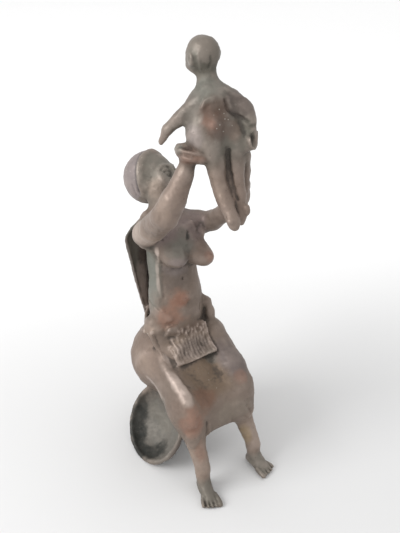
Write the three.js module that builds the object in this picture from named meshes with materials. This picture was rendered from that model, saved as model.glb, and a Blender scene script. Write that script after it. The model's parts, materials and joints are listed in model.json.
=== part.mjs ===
// A cast bronze group: a seated mother in a wrapped skirt holds her child up, and a bowl leans beside her.
// Millimetres. +X is her left, -Y is the way she faces, +Z is up, and the table is at Z = 0.
import * as THREE from 'three';
import { edgeTable, triTable } from 'three/addons/objects/MarchingCubes.js';

// Driving sizes
const FIGURE_HEIGHT = 291.3;
const BOWL_MOUTH_RADIUS = 25;
const BOWL_DEPTH = 13;
const BOWL_WALL = 2.6;
const BOWL_RIM_RADIUS = 1.9;
const BOWL_LOOK_UP = 30;
const CAPE_THICKNESS = 2.8;
const CAP_THICKNESS = 1.5;
const APRON_THICKNESS = 2.2;
const APRON_RIM = 0.5;
const SKIRT_WALL = 5;

// Fineness of the faceted surface
const CELL = 1.35;
const MOST_TRIANGLES = 9400;
const LENGTH_COST = 2e-4;
const THINNEST = 0.03;
const PASSES = 4;

const BRONZE = { color: 0x5b4d44, roughness: 0.5, metalness: 0.8 };

// The pose is drawn at this height, and every pose point and girth grows with the figure
const POSE_HEIGHT = 291.3;
const GROWTH = FIGURE_HEIGHT / POSE_HEIGHT;
const point = (x, y, z) => new THREE.Vector3(x, y, z).multiplyScalar(GROWTH);
const girth = (value) => value * GROWTH;
const norm = (x, y, z) => Math.sqrt(x * x + y * y + z * z);

// Forms: each is a signed distance, negative inside, with a ball that holds all of it

function form(distance, centre, reach) {
  return { distance, centre, reach, near: () => form(distance, centre, reach) };
}

function limb(from, fromRadius, to, toRadius) {
  const a = point(...from);
  const along = point(...to).sub(a);
  const squared = Math.max(along.lengthSq(), 1e-9);
  const start = girth(fromRadius);
  const change = girth(toRadius) - start;
  const distance = (x, y, z) => {
    const px = x - a.x;
    const py = y - a.y;
    const pz = z - a.z;
    const share = Math.min(Math.max((px * along.x + py * along.y + pz * along.z) / squared, 0), 1);
    return norm(px - share * along.x, py - share * along.y, pz - share * along.z) - start - share * change;
  };
  const centre = a.clone().addScaledVector(along, 0.5);
  return form(distance, centre, along.length() / 2 + Math.max(start, start + change));
}

// A chain of limbs through stations [x, y, z, radius]
function chain(blend, ...stations) {
  const links = stations.slice(1).map((to, i) => {
    const from = stations[i];
    return limb(from.slice(0, 3), from[3], to.slice(0, 3), to[3]);
  });
  return join(blend, ...links);
}

// Turns a form that is drawn round the origin, by angles in degrees, and moves it to its place
function placed(shape, place, angles = [0, 0, 0]) {
  const turn = new THREE.Euler(...angles.map(THREE.MathUtils.degToRad), 'XYZ');
  const home = point(...place);
  const inverse = new THREE.Matrix4().makeRotationFromEuler(turn).transpose().elements;
  const distance = (x, y, z) => {
    const px = x - home.x;
    const py = y - home.y;
    const pz = z - home.z;
    return shape.distance(
      inverse[0] * px + inverse[4] * py + inverse[8] * pz,
      inverse[1] * px + inverse[5] * py + inverse[9] * pz,
      inverse[2] * px + inverse[6] * py + inverse[10] * pz,
    );
  };
  const centre = shape.centre.clone().applyEuler(turn).add(home);
  return form(distance, centre, shape.reach);
}

function egg(place, radii, angles) {
  const [a, b, c] = radii.map(girth);
  const distance = (x, y, z) => {
    const inside = norm(x / a, y / b, z / c);
    const slope = norm(x / (a * a), y / (b * b), z / (c * c));
    return slope < 1e-9 ? -Math.min(a, b, c) : inside * (inside - 1) / slope;
  };
  return placed(form(distance, new THREE.Vector3(), Math.max(a, b, c)), place, angles);
}

function slab(place, halves, rounding, angles) {
  const [a, b, c] = halves.map((half) => girth(half - rounding));
  const round = girth(rounding);
  const distance = (x, y, z) => {
    const dx = Math.abs(x) - a;
    const dy = Math.abs(y) - b;
    const dz = Math.abs(z) - c;
    return norm(Math.max(dx, 0), Math.max(dy, 0), Math.max(dz, 0))
      + Math.min(Math.max(dx, dy, dz), 0) - round;
  };
  return placed(form(distance, new THREE.Vector3(), norm(a, b, c) + round), place, angles);
}

// Soft minimum: the two run into each other over the blend width
function softMin(first, second, blend) {
  const overlap = Math.max(blend - Math.abs(first - second), 0);
  return Math.min(first, second) - overlap * overlap / (4 * blend);
}

const softMax = (first, second, blend) => -softMin(-first, -second, blend);

function ballRound(forms) {
  const box = new THREE.Box3();
  for (const { centre, reach } of forms) {
    box.expandByPoint(centre.clone().addScalar(reach));
    box.expandByPoint(centre.clone().addScalar(-reach));
  }
  const sphere = box.getBoundingSphere(new THREE.Sphere());
  return [sphere.center, sphere.radius];
}

// How many blend widths away a form can still bend a seam between others
const SEAM_REACH = 2.5;

// Joins forms with a soft seam, and lets a block of space keep only those that come near it
function join(blend, ...forms) {
  const width = girth(blend);
  const distance = (x, y, z) => {
    let least = forms[0].distance(x, y, z);
    for (let i = 1; i < forms.length; i += 1) {
      least = softMin(least, forms[i].distance(x, y, z), width);
    }
    return least;
  };
  const joined = form(distance, ...ballRound(forms));
  joined.near = (centre, reach) => {
    const margin = reach + SEAM_REACH * width;
    const close = forms.filter((one) => one.centre.distanceTo(centre) < one.reach + margin);
    if (close.length === 0) return null;
    return join(blend, ...close.map((one) => one.near(centre, reach) ?? one));
  };
  return joined;
}

function carved(base, tool, blend) {
  const width = girth(blend);
  const distance = (x, y, z) => softMax(base.distance(x, y, z), -tool.distance(x, y, z), width);
  const result = form(distance, base.centre, base.reach);
  result.near = (centre, reach) => {
    const kept = base.near(centre, reach);
    if (kept === null) return null;
    const far = tool.centre.distanceTo(centre) > tool.reach + reach + SEAM_REACH * width;
    return far ? kept : carved(kept, tool, blend);
  };
  return result;
}

// Cloth of a given thickness that lies on a base, inside a region
function clad(base, thickness, region, blend) {
  const width = girth(blend);
  const distance = (x, y, z) => softMax(
    base.distance(x, y, z) - thickness,
    region.distance(x, y, z),
    width,
  );
  const result = form(distance, region.centre, region.reach);
  result.near = (centre, reach) => {
    const kept = base.near(centre, reach + thickness);
    return kept === null ? null : clad(kept, thickness, region, blend);
  };
  return result;
}

// Raises or sinks a surface by a pattern of the place
function embossed(base, pattern) {
  const distance = (x, y, z) => base.distance(x, y, z) - pattern(x, y, z);
  const result = form(distance, base.centre, base.reach);
  result.near = (centre, reach) => {
    const kept = base.near(centre, reach);
    return kept === null ? null : embossed(kept, pattern);
  };
  return result;
}

// The mother's bare trunk
function trunk() {
  const ribs = egg([1.2, 0, 147], [16.8, 13.2, 27]);
  const belly = egg([0.6, -3.4, 118], [17.8, 15.2, 22]);
  const lowBelly = egg([0, -7, 104], [17, 13, 13]);
  const shoulders = chain(3, [-20, -2, 166, 7], [0, 3, 166, 9], [20, -2, 165, 7]);
  const chest = egg([0, -6, 158], [16, 9, 10]);
  const rightBreast = chain(3, [-6, -8, 158, 6.8], [-5.8, -11.6, 153.4, 7.4], [-5.2, -13.8, 151, 6.6], [-4.8, -17.6, 149.8, 3]);
  const leftBreast = chain(2.4, [8, -9.5, 157.5, 6.8], [10, -15.5, 150.8, 7.8], [11, -20.5, 149.8, 6.2], [12.3, -27, 152.2, 2]);
  const body = join(7, ribs, belly, lowBelly, shoulders, chest);
  const collarBones = join(
    1,
    limb([-3, -9, 168], 1.3, [-20, -8, 170], 1.6),
    limb([3, -9, 168], 1.3, [20, -8, 169], 1.6),
  );
  const navel = egg([0, -20.5, 118], [1.8, 3, 2.2]);
  const spine = chain(2, [0, 17.5, 160, 1.6], [0, 16.5, 140, 1.8], [0, 14, 115, 1.8]);
  const skin = join(3, body, rightBreast, leftBreast, collarBones);
  return carved(carved(skin, navel, 2), spine, 4);
}

// The head is drawn upright round its middle and leans back as one piece.
// Its features stand on the usual shares of a head: eyes half way, nose at a quarter, mouth below it.
const HEAD_PLACE = [2.6, 22, 188.2];
const HEAD_LEAN = [-42, 0, 28];
const HEAD_TALL = 38;
const HEAD_WIDE = 27;

function face() {
  const share = (value) => value * HEAD_TALL;
  const both = (make) => [make(-1), make(1)];
  const across = (half, y, z, radius) => limb([-half, y, z], radius, [half, y, z], radius);
  const eyes = both((side) => egg([side * HEAD_WIDE * 0.2, share(-0.345), share(0)], [2.7, 1.7, 1.5]));
  const sockets = both((side) => egg([side * HEAD_WIDE * 0.2, share(-0.42), share(0)], [3.8, 3, 2.8]));
  const brows = both((side) => chain(
    1,
    [side * HEAD_WIDE * 0.07, share(-0.37), share(0.075), 1.3],
    [side * HEAD_WIDE * 0.2, share(-0.365), share(0.1), 1.3],
    [side * HEAD_WIDE * 0.31, share(-0.3), share(0.075), 1.2],
  ));
  const nose = chain(
    1,
    [0, share(-0.37), share(0.06), 1.5],
    [0, share(-0.42), share(-0.1), 1.8],
    [0, share(-0.43), share(-0.17), 2.4],
  );
  const nostrils = across(2.1, share(-0.39), share(-0.19), 1.5);
  const upperLip = across(3, share(-0.372), share(-0.27), 1.3);
  const lowerLip = across(2.4, share(-0.368), share(-0.33), 1.4);
  const chin = egg([0, share(-0.3), share(-0.44)], [4, 3.6, 3]);
  const cheeks = both((side) => egg([side * HEAD_WIDE * 0.27, share(-0.27), share(-0.1)], [5, 5, 6]));
  return { raised: [...brows, nose, nostrils, upperLip, lowerLip, chin, ...cheeks], sockets, eyes };
}

function ear(side, across, scale) {
  return chain(
    1,
    [side * across, -0.5 * scale, 4.2 * scale, 1.2 * scale],
    [side * (across + 0.8 * scale), 1.6 * scale, 1.8 * scale, 1.3 * scale],
    [side * across, -0.6 * scale, -4.6 * scale, 1.3 * scale],
    [side * (across - 0.4 * scale), -2.4 * scale, 0.6 * scale, 1.1 * scale],
  );
}

// A close cap with a rolled edge leaves the face, the ears and the short curls at the nape free
function motherHead() {
  const skull = egg([0, 2.3, 4.2], [14.7, 16.2, 15.4]);
  const jaw = egg([0, -5.5, -7], [10.5, 9.5, 11.5]);
  const { raised, sockets, eyes } = face();
  let head = join(2.4, join(5, skull, jaw), ...raised);
  for (const socket of sockets) head = carved(head, socket, 2.4);
  head = join(0.8, head, ...eyes);
  head = join(1.6, head, ear(-1, 13.4, 1), ear(1, 13.4, 1));
  const capSlant = [22, 0, 0];
  const cap = clad(skull, CAP_THICKNESS, slab([0, 11, 8], [20, 15, 24], 1, capSlant), 0.8);
  const edgeBand = slab([0, -3.6, 13], [20, 1.6, 26], 1, capSlant);
  const rolledEdge = clad(skull, CAP_THICKNESS + girth(0.9), edgeBand, 0.8);
  const curl = 2 * Math.PI / girth(3.4);
  const hair = embossed(
    clad(skull, girth(1.4), egg([0, 9, -8], [18, 11, 9]), 1.5),
    (x, y, z) => girth(0.5) * Math.sin(x * curl) * Math.sin(y * curl) * Math.sin(z * curl),
  );
  return placed(join(1.2, head, cap, rolledEdge, hair), HEAD_PLACE, HEAD_LEAN);
}

function neck() {
  return chain(3, [0, 4, 164, 9.5], [0, 8, 176, 8.4], [0, 14, 187, 8.8]);
}

function motherArms() {
  const right = chain(
    2,
    [-22, -5, 169, 8.2],
    [-27, -23, 182, 8],
    [-29, -40, 197, 7.8],
    [-26, -44, 208, 7.2],
    [-19.5, -45, 221, 5.2],
    [-16, -44, 229, 4.4],
  );
  const left = chain(
    2,
    [21, -2.5, 162.5, 7],
    [24, -11.5, 167.6, 6.4],
    [24.6, -24.5, 178.6, 5.5],
    [25, -36, 187.5, 5.6],
    [22.6, -41.5, 197, 5.4],
    [16.2, -51, 217, 4.1],
    [12.2, -57, 230, 3.6],
  );
  return [right, left];
}

// Her right hand is a level cup under the child's seat, and her left hand closes round its hip
function motherHands() {
  const palm = slab([-12.5, -43.5, 231], [6.6, 6.5, 3.2], 2.8, [0, -4, -30]);
  const edge = chain(1.5, [-18.4, -40.5, 232.4, 3.2], [-16.6, -46.5, 231.6, 3.5], [-12.8, -51, 231.4, 3.6], [-8.6, -53.6, 231.4, 3.2]);
  const fingers = [0, 1, 2].map((i) => chain(
    0.8,
    [-8 + i * 1.8, -48 + i * 3, 230.4, 2.1],
    [-3.5 + i * 1.8, -50 + i * 2.6, 229.4, 2.1],
    [1 + i * 1.4, -51 + i * 2.4, 230.2, 1.8],
  ));
  const thumb = chain(1, [-17.6, -37.5, 232, 3], [-18.4, -39, 234.6, 2.6], [-15.6, -43.5, 236, 2.1]);
  const fist = egg([12.2, -60.8, 238.8], [3.8, 4.6, 5], [0, 10, 20]);
  const knuckles = [0, 1, 2, 3].map((i) => {
    const tuck = 0.5 * (i - 1.2) ** 2;
    return chain(
      0.8,
      [14.4 - tuck, -62, 242.6 - i * 2.4, 1.8],
      [12.2 - tuck, -64.8 + tuck, 243 - i * 2.5, 1.7],
      [8.4, -64.8 + tuck, 242.6 - i * 2.5, 1.5],
    );
  });
  return [join(1.6, palm, edge, ...fingers, thumb), join(1.6, fist, ...knuckles)];
}

// The cape falls from the shoulders behind the back, clear of it. It is widest over the shoulder blades
// and narrows to the seat, and its inside shows past her flanks.
function cape() {
  const top = 172;
  const bottom = 90;
  const folds = 5;
  const distance = (x, y, z) => {
    const drop = Math.min(Math.max((top - z / GROWTH) / (top - bottom), 0), 1);
    const halfWidth = girth(Math.min(23 + 38 * drop, 30.2 - 18.5 * drop));
    const a = 1.25 * halfWidth;
    const b = girth(13 + 11 * Math.sqrt(drop) - 5.5 * drop);
    const back = y - girth(2);
    const inside = norm(x / a, back / b, 0);
    const slope = norm(x / (a * a), back / (b * b), 0) / Math.max(inside, 1e-6);
    const wave = girth(1.3) * Math.sqrt(drop) * Math.cos(Math.atan2(x, back) * folds * 2);
    const sheet = Math.abs((inside - 1) / Math.max(slope, 1e-6) + wave) - CAPE_THICKNESS / 2;
    const sides = Math.max(Math.abs(x) - halfWidth, girth(2) - back);
    const low = girth(bottom) + girth(3) * Math.abs(x / a) - z;
    const high = z + 0.6 * Math.max(Math.abs(x) - 8, 0) - girth(top);
    return softMax(softMax(sheet, sides, girth(1)), Math.max(low, high), girth(1.5));
  };
  const sheet = form(distance, point(0, 14, 131), girth(60));
  const yoke = chain(
    3,
    [-20.5, 3, 165, 5],
    [-11, 9, 170.5, 4.8],
    [0, 13, 173, 5],
    [11, 9, 168.6, 4.6],
    [21, 3, 163, 4.6],
  );
  const roll = chain(
    1.5,
    [12, 3, 171, 3],
    [15.5, -6, 168.6, 2.7],
    [15, -12, 162.5, 2.3],
    [13, -14.5, 157, 1.8],
  );
  return join(2, sheet, yoke, roll);
}

// A strip of the cape clings to her right flank and ends in a pointed flap at the waist
function flankStrip(body) {
  const strip = slab([-16, -1.5, 133], [9, 6.5, 27], 1, [-8, 0, 0]);
  const flap = slab([-16, -10.5, 109.5], [5, 6, 6], 0.6, [45, 0, 0]);
  return join(1, clad(body, girth(1.5), strip, 0.4), clad(body, girth(2.1), flap, 0.4));
}

// The wrapped skirt: hips, thighs under cloth, the lap stretched between them, and a hem below the knees
function skirt() {
  const hips = egg([0, 4, 65.5], [28.5, 25, 28.5]);
  const waist = chain(3, [-17, -4, 100, 7], [0, -10, 100, 8], [17, -4, 100, 7]);
  const rightThigh = chain(3, [-12, -6, 71, 15.5], [-20, -48, 62, 10.5]);
  const leftThigh = chain(3, [13, -6, 66, 18], [16.5, -47, 58, 12]);
  const leftThighTop = chain(
    3,
    [17.5, -5, 92, 8],
    [19.6, -16.5, 87, 9],
    [19.6, -26, 78.5, 9.6],
    [19.4, -39, 73, 9.6],
    [18.6, -47.5, 65.5, 10],
  );
  const lap = slab([-1, -28, 55.5], [17, 30, 12], 10);
  const lapTop = chain(4, [-2, -18, 80, 9], [0, -32, 69.5, 9], [0, -45, 60.5, 9]);
  const front = slab([-2, -50, 52], [21, 8.5, 12.2], 7, [-4, 0, 0]);
  const rightKneeFall = chain(2, [-22, -50, 58, 10], [-21.5, -53, 45.5, 7.6]);
  const leftKneeFall = chain(2, [16, -50, 58, 11], [18, -53.5, 44.6, 8.4]);
  const rightSide = chain(3, [-20, -34, 62, 7.5], [-21.5, -44, 57, 8.5], [-21, -43, 47, 6]);
  const leftSide = chain(3, [19, -42, 56, 10], [20, -20, 57, 10.5], [20, -40, 44, 7]);
  const kneeFall = join(4, front, rightKneeFall, leftKneeFall);
  return join(8, hips, waist, rightThigh, join(4, leftThigh, leftThighTop), join(5, lap, lapTop), kneeFall, rightSide, leftSide);
}

// The cloth is a wall over an open space behind the shins
function openBelow(cloth) {
  const [halfWide, halfDeep] = [21, 22];
  const hollow = slab([-2, -33, 25], [halfWide - SKIRT_WALL, halfDeep - SKIRT_WALL, 20], 8);
  return carved(cloth, hollow, 3);
}

// How far a ridge of the given height and width lifts a surface near its line
function ridge(line, height, width) {
  const nearest = chain(0.01, ...line.map((station) => [...station, 0]));
  const spread = girth(width);
  return (x, y, z) => {
    const away = nearest.distance(x, y, z) / spread;
    return away > 3 ? 0 : girth(height) * Math.exp(-away * away);
  };
}

// Folds spread from the knot over the hip and the thigh
function folded(cloth) {
  const ridges = [
    ridge([[-23, -8, 96], [-22, -14, 85], [-23, -25, 79], [-24, -41, 75.5]], 2.3, 2.8),
    ridge([[-24, -41, 75.5], [-24.6, -54, 69.5], [-25.5, -61, 59]], 2, 3.4),
    ridge([[-26, -8, 101], [-25.5, -5, 88], [-29, -2, 76], [-28, 4, 62]], 0.9, 2.4),
    ridge([[20, -12, 92], [22, -28, 78], [21, -44, 73], [17, -58, 67]], 1.3, 3),
    ridge([[-13, -58, 64], [-12, -59, 54], [-11, -57, 42]], 1.2, 2.4),
    ridge([[25, -40, 68], [27, -50, 58], [25, -58, 46]], 1.5, 2.4),
    ridge([[8, -58, 62], [10, -60, 52], [12, -59, 42]], 1.2, 2.4),
    ridge([[24, 2, 94], [26, 10, 82], [22, 18, 70]], 1.4, 2.6),
  ];
  return embossed(cloth, (x, y, z) => ridges.reduce((sum, lift) => sum + lift(x, y, z), 0));
}

// A rolled top edge goes round the back of the waist, from one tuck to the other
function waistRoll() {
  const turns = 14;
  const stations = Array.from({ length: turns + 1 }, (_, i) => {
    const bearing = 2.1 * (2 * i / turns - 1);
    const [x, y] = [20 * Math.sin(bearing), -2 + 16.5 * Math.cos(bearing)];
    return [x, y, 102 + 2 * Math.cos(2 * bearing), 1.4];
  });
  return chain(1, ...stations);
}

// The skirt is tucked in at her right hip, and cloth bunches at the left one
function tucks() {
  const right = chain(
    1.5,
    [-21.4, 6, 91.5, 1.4],
    [-22, -3, 95.5, 1.8],
    [-20.8, -10.5, 99, 2],
    [-17.5, -14.2, 101.5, 1.5],
  );
  const left = join(
    1.2,
    chain(2, [15.5, -7.5, 113.5, 2.4], [18.8, -13.4, 110, 2.8], [19.6, -15.4, 103, 3.2], [20, -17, 95, 3]),
    chain(2, [18.5, -1, 110, 2.6], [21.5, -6, 103, 3.6], [22, -10, 93, 3]),
  );
  return [right, left];
}

// Below the hips the cloth falls on to the table in flutes, and carries the seat
function fallingCloth() {
  const flutes = 9;
  const [middleX, middleY] = [3, 8];
  const levels = [
    { z: 64, across: 15, deep: 13, radius: 7 },
    { z: 32, across: 12.5, deep: 12.5, radius: 5.2 },
    { z: -4, across: 14.5, deep: 17, radius: 6.2 },
  ];
  const folds = Array.from({ length: flutes }, (_, i) => {
    const bearing = 2 * Math.PI * (i + 0.5) / flutes;
    return chain(2, ...levels.map(({ z, across, deep, radius }) => [
      middleX + across * Math.cos(bearing),
      middleY + deep * Math.sin(bearing),
      z,
      radius,
    ]));
  });
  const core = limb([middleX, middleY, 60], 15, [middleX, middleY + 1, -6], 12);
  return join(2, core, ...folds);
}

// A small cloth hangs from the waist over the lap, with a band along its top and a rim along its foot.
// It hangs askew: its top and its foot slope opposite ways.
function apron(under) {
  const [halfWide, halfDeep, halfTall] = [13.9, 11, 11.6];
  const [slope, fan] = [0.032, 0.0095];
  const middle = point(-1.7, -24, 92);
  const leanDegrees = -22;
  const lean = THREE.MathUtils.degToRad(leanDegrees);
  const strip = (from, to, raise) => {
    const up = (from + to) / 2;
    const place = [0, -up * Math.sin(lean), up * Math.cos(lean)];
    const upright = slab(place, [halfWide, halfDeep, (to - from) / 2], 0.6, [leanDegrees, 0, 0]);
    const distance = (x, y, z) => {
      const [px, py, pz] = [x - middle.x, y - middle.y, z - middle.z];
      return upright.distance(px, py, pz + (slope + fan * pz) * px);
    };
    const region = form(distance, middle, girth(norm(halfWide, halfDeep, halfTall) * (1 + 8 * slope)));
    return clad(under, girth(APRON_THICKNESS + raise), region, 0.3);
  };
  const [foot, head] = [-halfTall, halfTall];
  const panel = strip(foot, head - 7, 0);
  return join(0.6, panel, strip(foot, foot + 2, APRON_RIM), strip(head - 8, head, -APRON_THICKNESS / 2));
}

function leg(side, knee, ankle, toe) {
  const calf = [(knee[0] + ankle[0]) / 2, (knee[1] + ankle[1]) / 2 + 2, 38, 6.4];
  const shank = chain(2, [...knee, 7.2], calf, [ankle[0], ankle[1] + 0.5, 18, 4.9], [...ankle, 4.6]);
  const heading = new THREE.Vector2(toe[0] - ankle[0], toe[1] - ankle[1]);
  const long = heading.length() / 17.6;
  heading.normalize();
  const onFoot = (forward, sideways, z) => [
    ankle[0] + long * forward * heading.x - sideways * heading.y,
    ankle[1] + long * forward * heading.y + sideways * heading.x,
    z,
  ];
  const heel = limb(onFoot(-2.6, 0, 3.8), 4.1, onFoot(3, 0, 4), 4.5);
  const arch = limb(onFoot(2, 0, 6), 5, onFoot(11, 0, 2.2), 4.4);
  const ball = limb(onFoot(11, -3, 1.6), 3, onFoot(11, 3, 1.6), 3);
  const toes = [-2, -1, 0, 1, 2].map((i) => {
    const inner = i * side;
    const big = inner === 2 ? 0.6 : 0;
    const tip = onFoot(17 + inner * 0.5 + big, i * 2.75, 1.3);
    return limb(onFoot(12, i * 2.3, 1.6), 1.6 + big, tip, 1.4 + big);
  });
  return join(1.6, shank, heel, arch, ball, join(0.4, ...toes));
}

// The bowl leans on its rim with its mouth to her right and up
function bowl() {
  const radius = (BOWL_MOUTH_RADIUS ** 2 + BOWL_DEPTH ** 2) / (2 * BOWL_DEPTH);
  const rise = radius - BOWL_DEPTH;
  const rimCircle = BOWL_MOUTH_RADIUS + BOWL_WALL / 2;
  const distance = (x, y, z) => {
    const shell = Math.abs(norm(x, y, z - rise) - radius - BOWL_WALL / 2) - BOWL_WALL / 2;
    const rim = norm(norm(x, y, 0) - rimCircle, z, 0) - BOWL_RIM_RADIUS;
    return softMin(softMax(shell, z, 1), rim, 1);
  };
  const shape = form(distance, new THREE.Vector3(), rimCircle + BOWL_RIM_RADIUS);
  const look = THREE.MathUtils.degToRad(BOWL_LOOK_UP);
  const sunk = 0.6;
  const lift = (rimCircle * Math.cos(look) + BOWL_RIM_RADIUS - sunk) / GROWTH;
  return placed(shape, [-23.6, -12.6, lift], [0, BOWL_LOOK_UP - 90, 3]);
}

function childBody() {
  const chest = egg([-0.5, -43.5, 256], [12.5, 9.5, 12.5], [24, 0, -14]);
  const belly = egg([-1, -47, 246], [14.5, 11.5, 12], [20, 0, -14]);
  const seat = (side) => egg([side * 6.8, -53.5 - side * 2, 237.5], [7.4, 7.4, 8]);
  const shoulders = chain(2, [-7, -41, 259.6, 4.6], [0, -41.5, 262.6, 5.2], [9.4, -48.5, 259, 5]);
  const neckline = chain(2, [0, -41, 263, 5.2], [0, -37, 274, 5.2]);
  const lap = limb([-10.4, -46.4, 242.5], 7.6, [-7, -46, 248], 8);
  const body = join(5, chest, belly, shoulders, neckline, lap, join(2, seat(-1), seat(1)));
  const rightBlade = egg([-5.4, -50, 257], [4, 2.2, 6], [20, 0, -14]);
  const leftBlade = chain(2, [7, -50.5, 258.6, 4], [11.4, -54, 255, 4.6], [14, -56.5, 251.5, 4.2]);
  const crease = chain(1, [4, -56.5, 257.5, 0.7], [7, -60, 252, 0.9], [12, -62.5, 247, 0.9]);
  return carved(join(2, body, rightBlade, leftBlade), crease, 2);
}

function childHead() {
  const skull = egg([0, 0.5, 1.2], [8.9, 10, 9.4]);
  const jaw = egg([0, 3.6, -4], [6, 6.2, 6.4]);
  const nose = egg([0, 10.4, -3.2], [1.5, 1.6, 2]);
  const cheeks = (side) => egg([side * 3.6, 6.9, -4.4], [3.2, 3, 3]);
  const lips = limb([-1.6, 9.4, -6.6], 0.9, [1.6, 9.4, -6.6], 0.9);
  const socket = (side) => egg([side * 3.4, 10.8, 0.4], [2, 2, 1.6]);
  const smallEar = (side) => egg([side * 8.8, 0.6, -1.8], [1.6, 2, 3]);
  let head = join(2, join(4, skull, jaw), nose, cheeks(-1), cheeks(1), lips, smallEar(-1), smallEar(1));
  head = carved(carved(head, socket(-1), 2), socket(1), 2);
  return placed(head, [0, -35.5, 280.8], [-14, 0, 6]);
}

function childLimbs() {
  const leftArm = chain(
    1.5,
    [-9.5, -42, 258.5, 4.6],
    [-15.8, -37.4, 250.8, 3.9],
    [-21, -31, 243, 3.1],
    [-23.2, -28, 235, 2],
  );
  const rightArm = chain(
    1.5,
    [9.4, -50, 258.6, 4.8],
    [12.8, -54.4, 255, 4.5],
    [13.2, -58, 249, 4],
    [12.4, -61, 244, 3.4],
  );
  const leftLeg = chain(
    1.5,
    [-6.2, -53, 235, 6],
    [-4.6, -56.5, 216, 4.4],
    [-4.4, -62.5, 207.5, 4.5],
    [-4.6, -67, 202.6, 3.5],
    [-4.3, -69.4, 199.4, 4],
    [-4.1, -70.4, 196.6, 3.5],
  );
  const rightLeg = chain(
    1.5,
    [6.5, -55, 236, 6],
    [5, -59, 217, 4.4],
    [4.8, -62.4, 209, 4.2],
    [4, -64.6, 202, 3.3],
    [3.4, -66, 198.6, 3.5],
    [3.2, -66.6, 196, 3.1],
  );
  return [leftArm, rightArm, leftLeg, rightLeg];
}

function figure() {
  const cloth = folded(skirt());
  const body = trunk();
  const mother = join(
    2.4,
    body,
    neck(),
    ...motherArms(),
    ...motherHands(),
    leg(1, [-20, -50, 58], [-18.3, -62, 10], [-23, -79, 0]),
    leg(-1, [15.8, -50, 58], [24, -61.8, 10], [26.2, -76.4, 0]),
  );
  return join(
    1.4,
    mother,
    motherHead(),
    cape(),
    flankStrip(body),
    join(5, join(2, openBelow(cloth), waistRoll()), fallingCloth()),
    apron(join(2, cloth, body)),
    ...tucks(),
    bowl(),
    join(2, childBody(), childHead(), ...childLimbs()),
  );
}

// The surface is found by marching through small cubes, in the blocks of space that it passes

const CORNERS = [[0, 0, 0], [1, 0, 0], [1, 1, 0], [0, 1, 0], [0, 0, 1], [1, 0, 1], [1, 1, 1], [0, 1, 1]];
const EDGES = [
  [0, 1], [1, 2], [2, 3], [3, 0], [4, 5], [5, 6],
  [6, 7], [7, 4], [0, 4], [1, 5], [2, 6], [3, 7],
];
const LEAF = 4;
const SIDE = LEAF + 1;
const GRID_LIMIT = 4096;

// A block is skipped when its middle is further than this from the surface: a share of its reach and a gap
const SAFE_SHARE = 1.4;
const SAFE_GAP = 3;

// The table cuts every form off flat
const aboveTable = (shape, x, y, z) => Math.max(shape.distance(x, y, z), -z);

function march(shape) {
  const cells = LEAF * 2 ** Math.ceil(Math.log2(2 * shape.reach / CELL / LEAF));
  const low = shape.centre.clone().addScalar(-cells * CELL / 2);
  low.z = CELL * (Math.floor(low.z / CELL) + 0.5);
  const points = [];
  const faces = [];
  const made = new Map();
  const values = new Float64Array(SIDE ** 3);
  const corner = new Float64Array(CORNERS.length);
  const onEdge = new Int32Array(EDGES.length);

  // Two blocks that share an edge of a cube share the vertex on it too
  const vertexOn = (gx, gy, gz, edge) => {
    const [first, second] = EDGES[edge];
    const [p, q] = CORNERS[first] < CORNERS[second] ? [first, second] : [second, first];
    const from = CORNERS[p];
    const step = CORNERS[q].map((value, axis) => value - from[axis]);
    const axis = step.indexOf(1);
    const key = (((gz + from[2]) * GRID_LIMIT + gy + from[1]) * GRID_LIMIT + gx + from[0]) * 3 + axis;
    const known = made.get(key);
    if (known !== undefined) return known;
    const share = corner[p] / (corner[p] - corner[q]);
    const place = new THREE.Vector3(gx + from[0], gy + from[1], gz + from[2]);
    place.addScaledVector(new THREE.Vector3(...step), share).multiplyScalar(CELL).add(low);
    made.set(key, points.length);
    points.push(place);
    return points.length - 1;
  };

  const cube = (gx, gy, gz, start) => {
    let code = 0;
    for (let c = 0; c < 8; c += 1) {
      const [i, j, k] = CORNERS[c];
      corner[c] = values[start + (k * SIDE + j) * SIDE + i];
      if (corner[c] < 0) code |= 1 << c;
    }
    const crossed = edgeTable[code];
    if (crossed === 0) return;
    for (let edge = 0; edge < 12; edge += 1) {
      if (crossed & (1 << edge)) onEdge[edge] = vertexOn(gx, gy, gz, edge);
    }
    for (let t = code * 16; triTable[t] !== -1; t += 3) {
      faces.push([onEdge[triTable[t]], onEdge[triTable[t + 2]], onEdge[triTable[t + 1]]]);
    }
  };

  const leaf = (local, gx, gy, gz) => {
    for (let k = 0, at = 0; k < SIDE; k += 1) {
      for (let j = 0; j < SIDE; j += 1) {
        for (let i = 0; i < SIDE; i += 1, at += 1) {
          const z = low.z + CELL * (gz + k);
          const value = aboveTable(local, low.x + CELL * (gx + i), low.y + CELL * (gy + j), z);
          values[at] = Math.abs(value) < 1e-5 ? 1e-5 : value;
        }
      }
    }
    for (let k = 0; k < LEAF; k += 1) {
      for (let j = 0; j < LEAF; j += 1) {
        for (let i = 0; i < LEAF; i += 1) cube(gx + i, gy + j, gz + k, (k * SIDE + j) * SIDE + i);
      }
    }
  };

  const visit = (outer, gx, gy, gz, size) => {
    const half = size / 2;
    const middle = new THREE.Vector3(gx + half, gy + half, gz + half).multiplyScalar(CELL).add(low);
    if (middle.z + half * CELL < 0) return;
    const reach = half * CELL * Math.sqrt(3);
    const local = outer.near(middle, reach);
    if (local === null) return;
    const away = aboveTable(local, middle.x, middle.y, middle.z);
    if (Math.abs(away) > SAFE_SHARE * reach + SAFE_GAP) return;
    if (size === LEAF) {
      leaf(local, gx, gy, gz);
      return;
    }
    for (const [i, j, k] of CORNERS) visit(local, gx + i * half, gy + j * half, gz + k * half, half);
  };

  visit(shape, 0, 0, 0, cells);
  return { points, faces };
}

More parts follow.
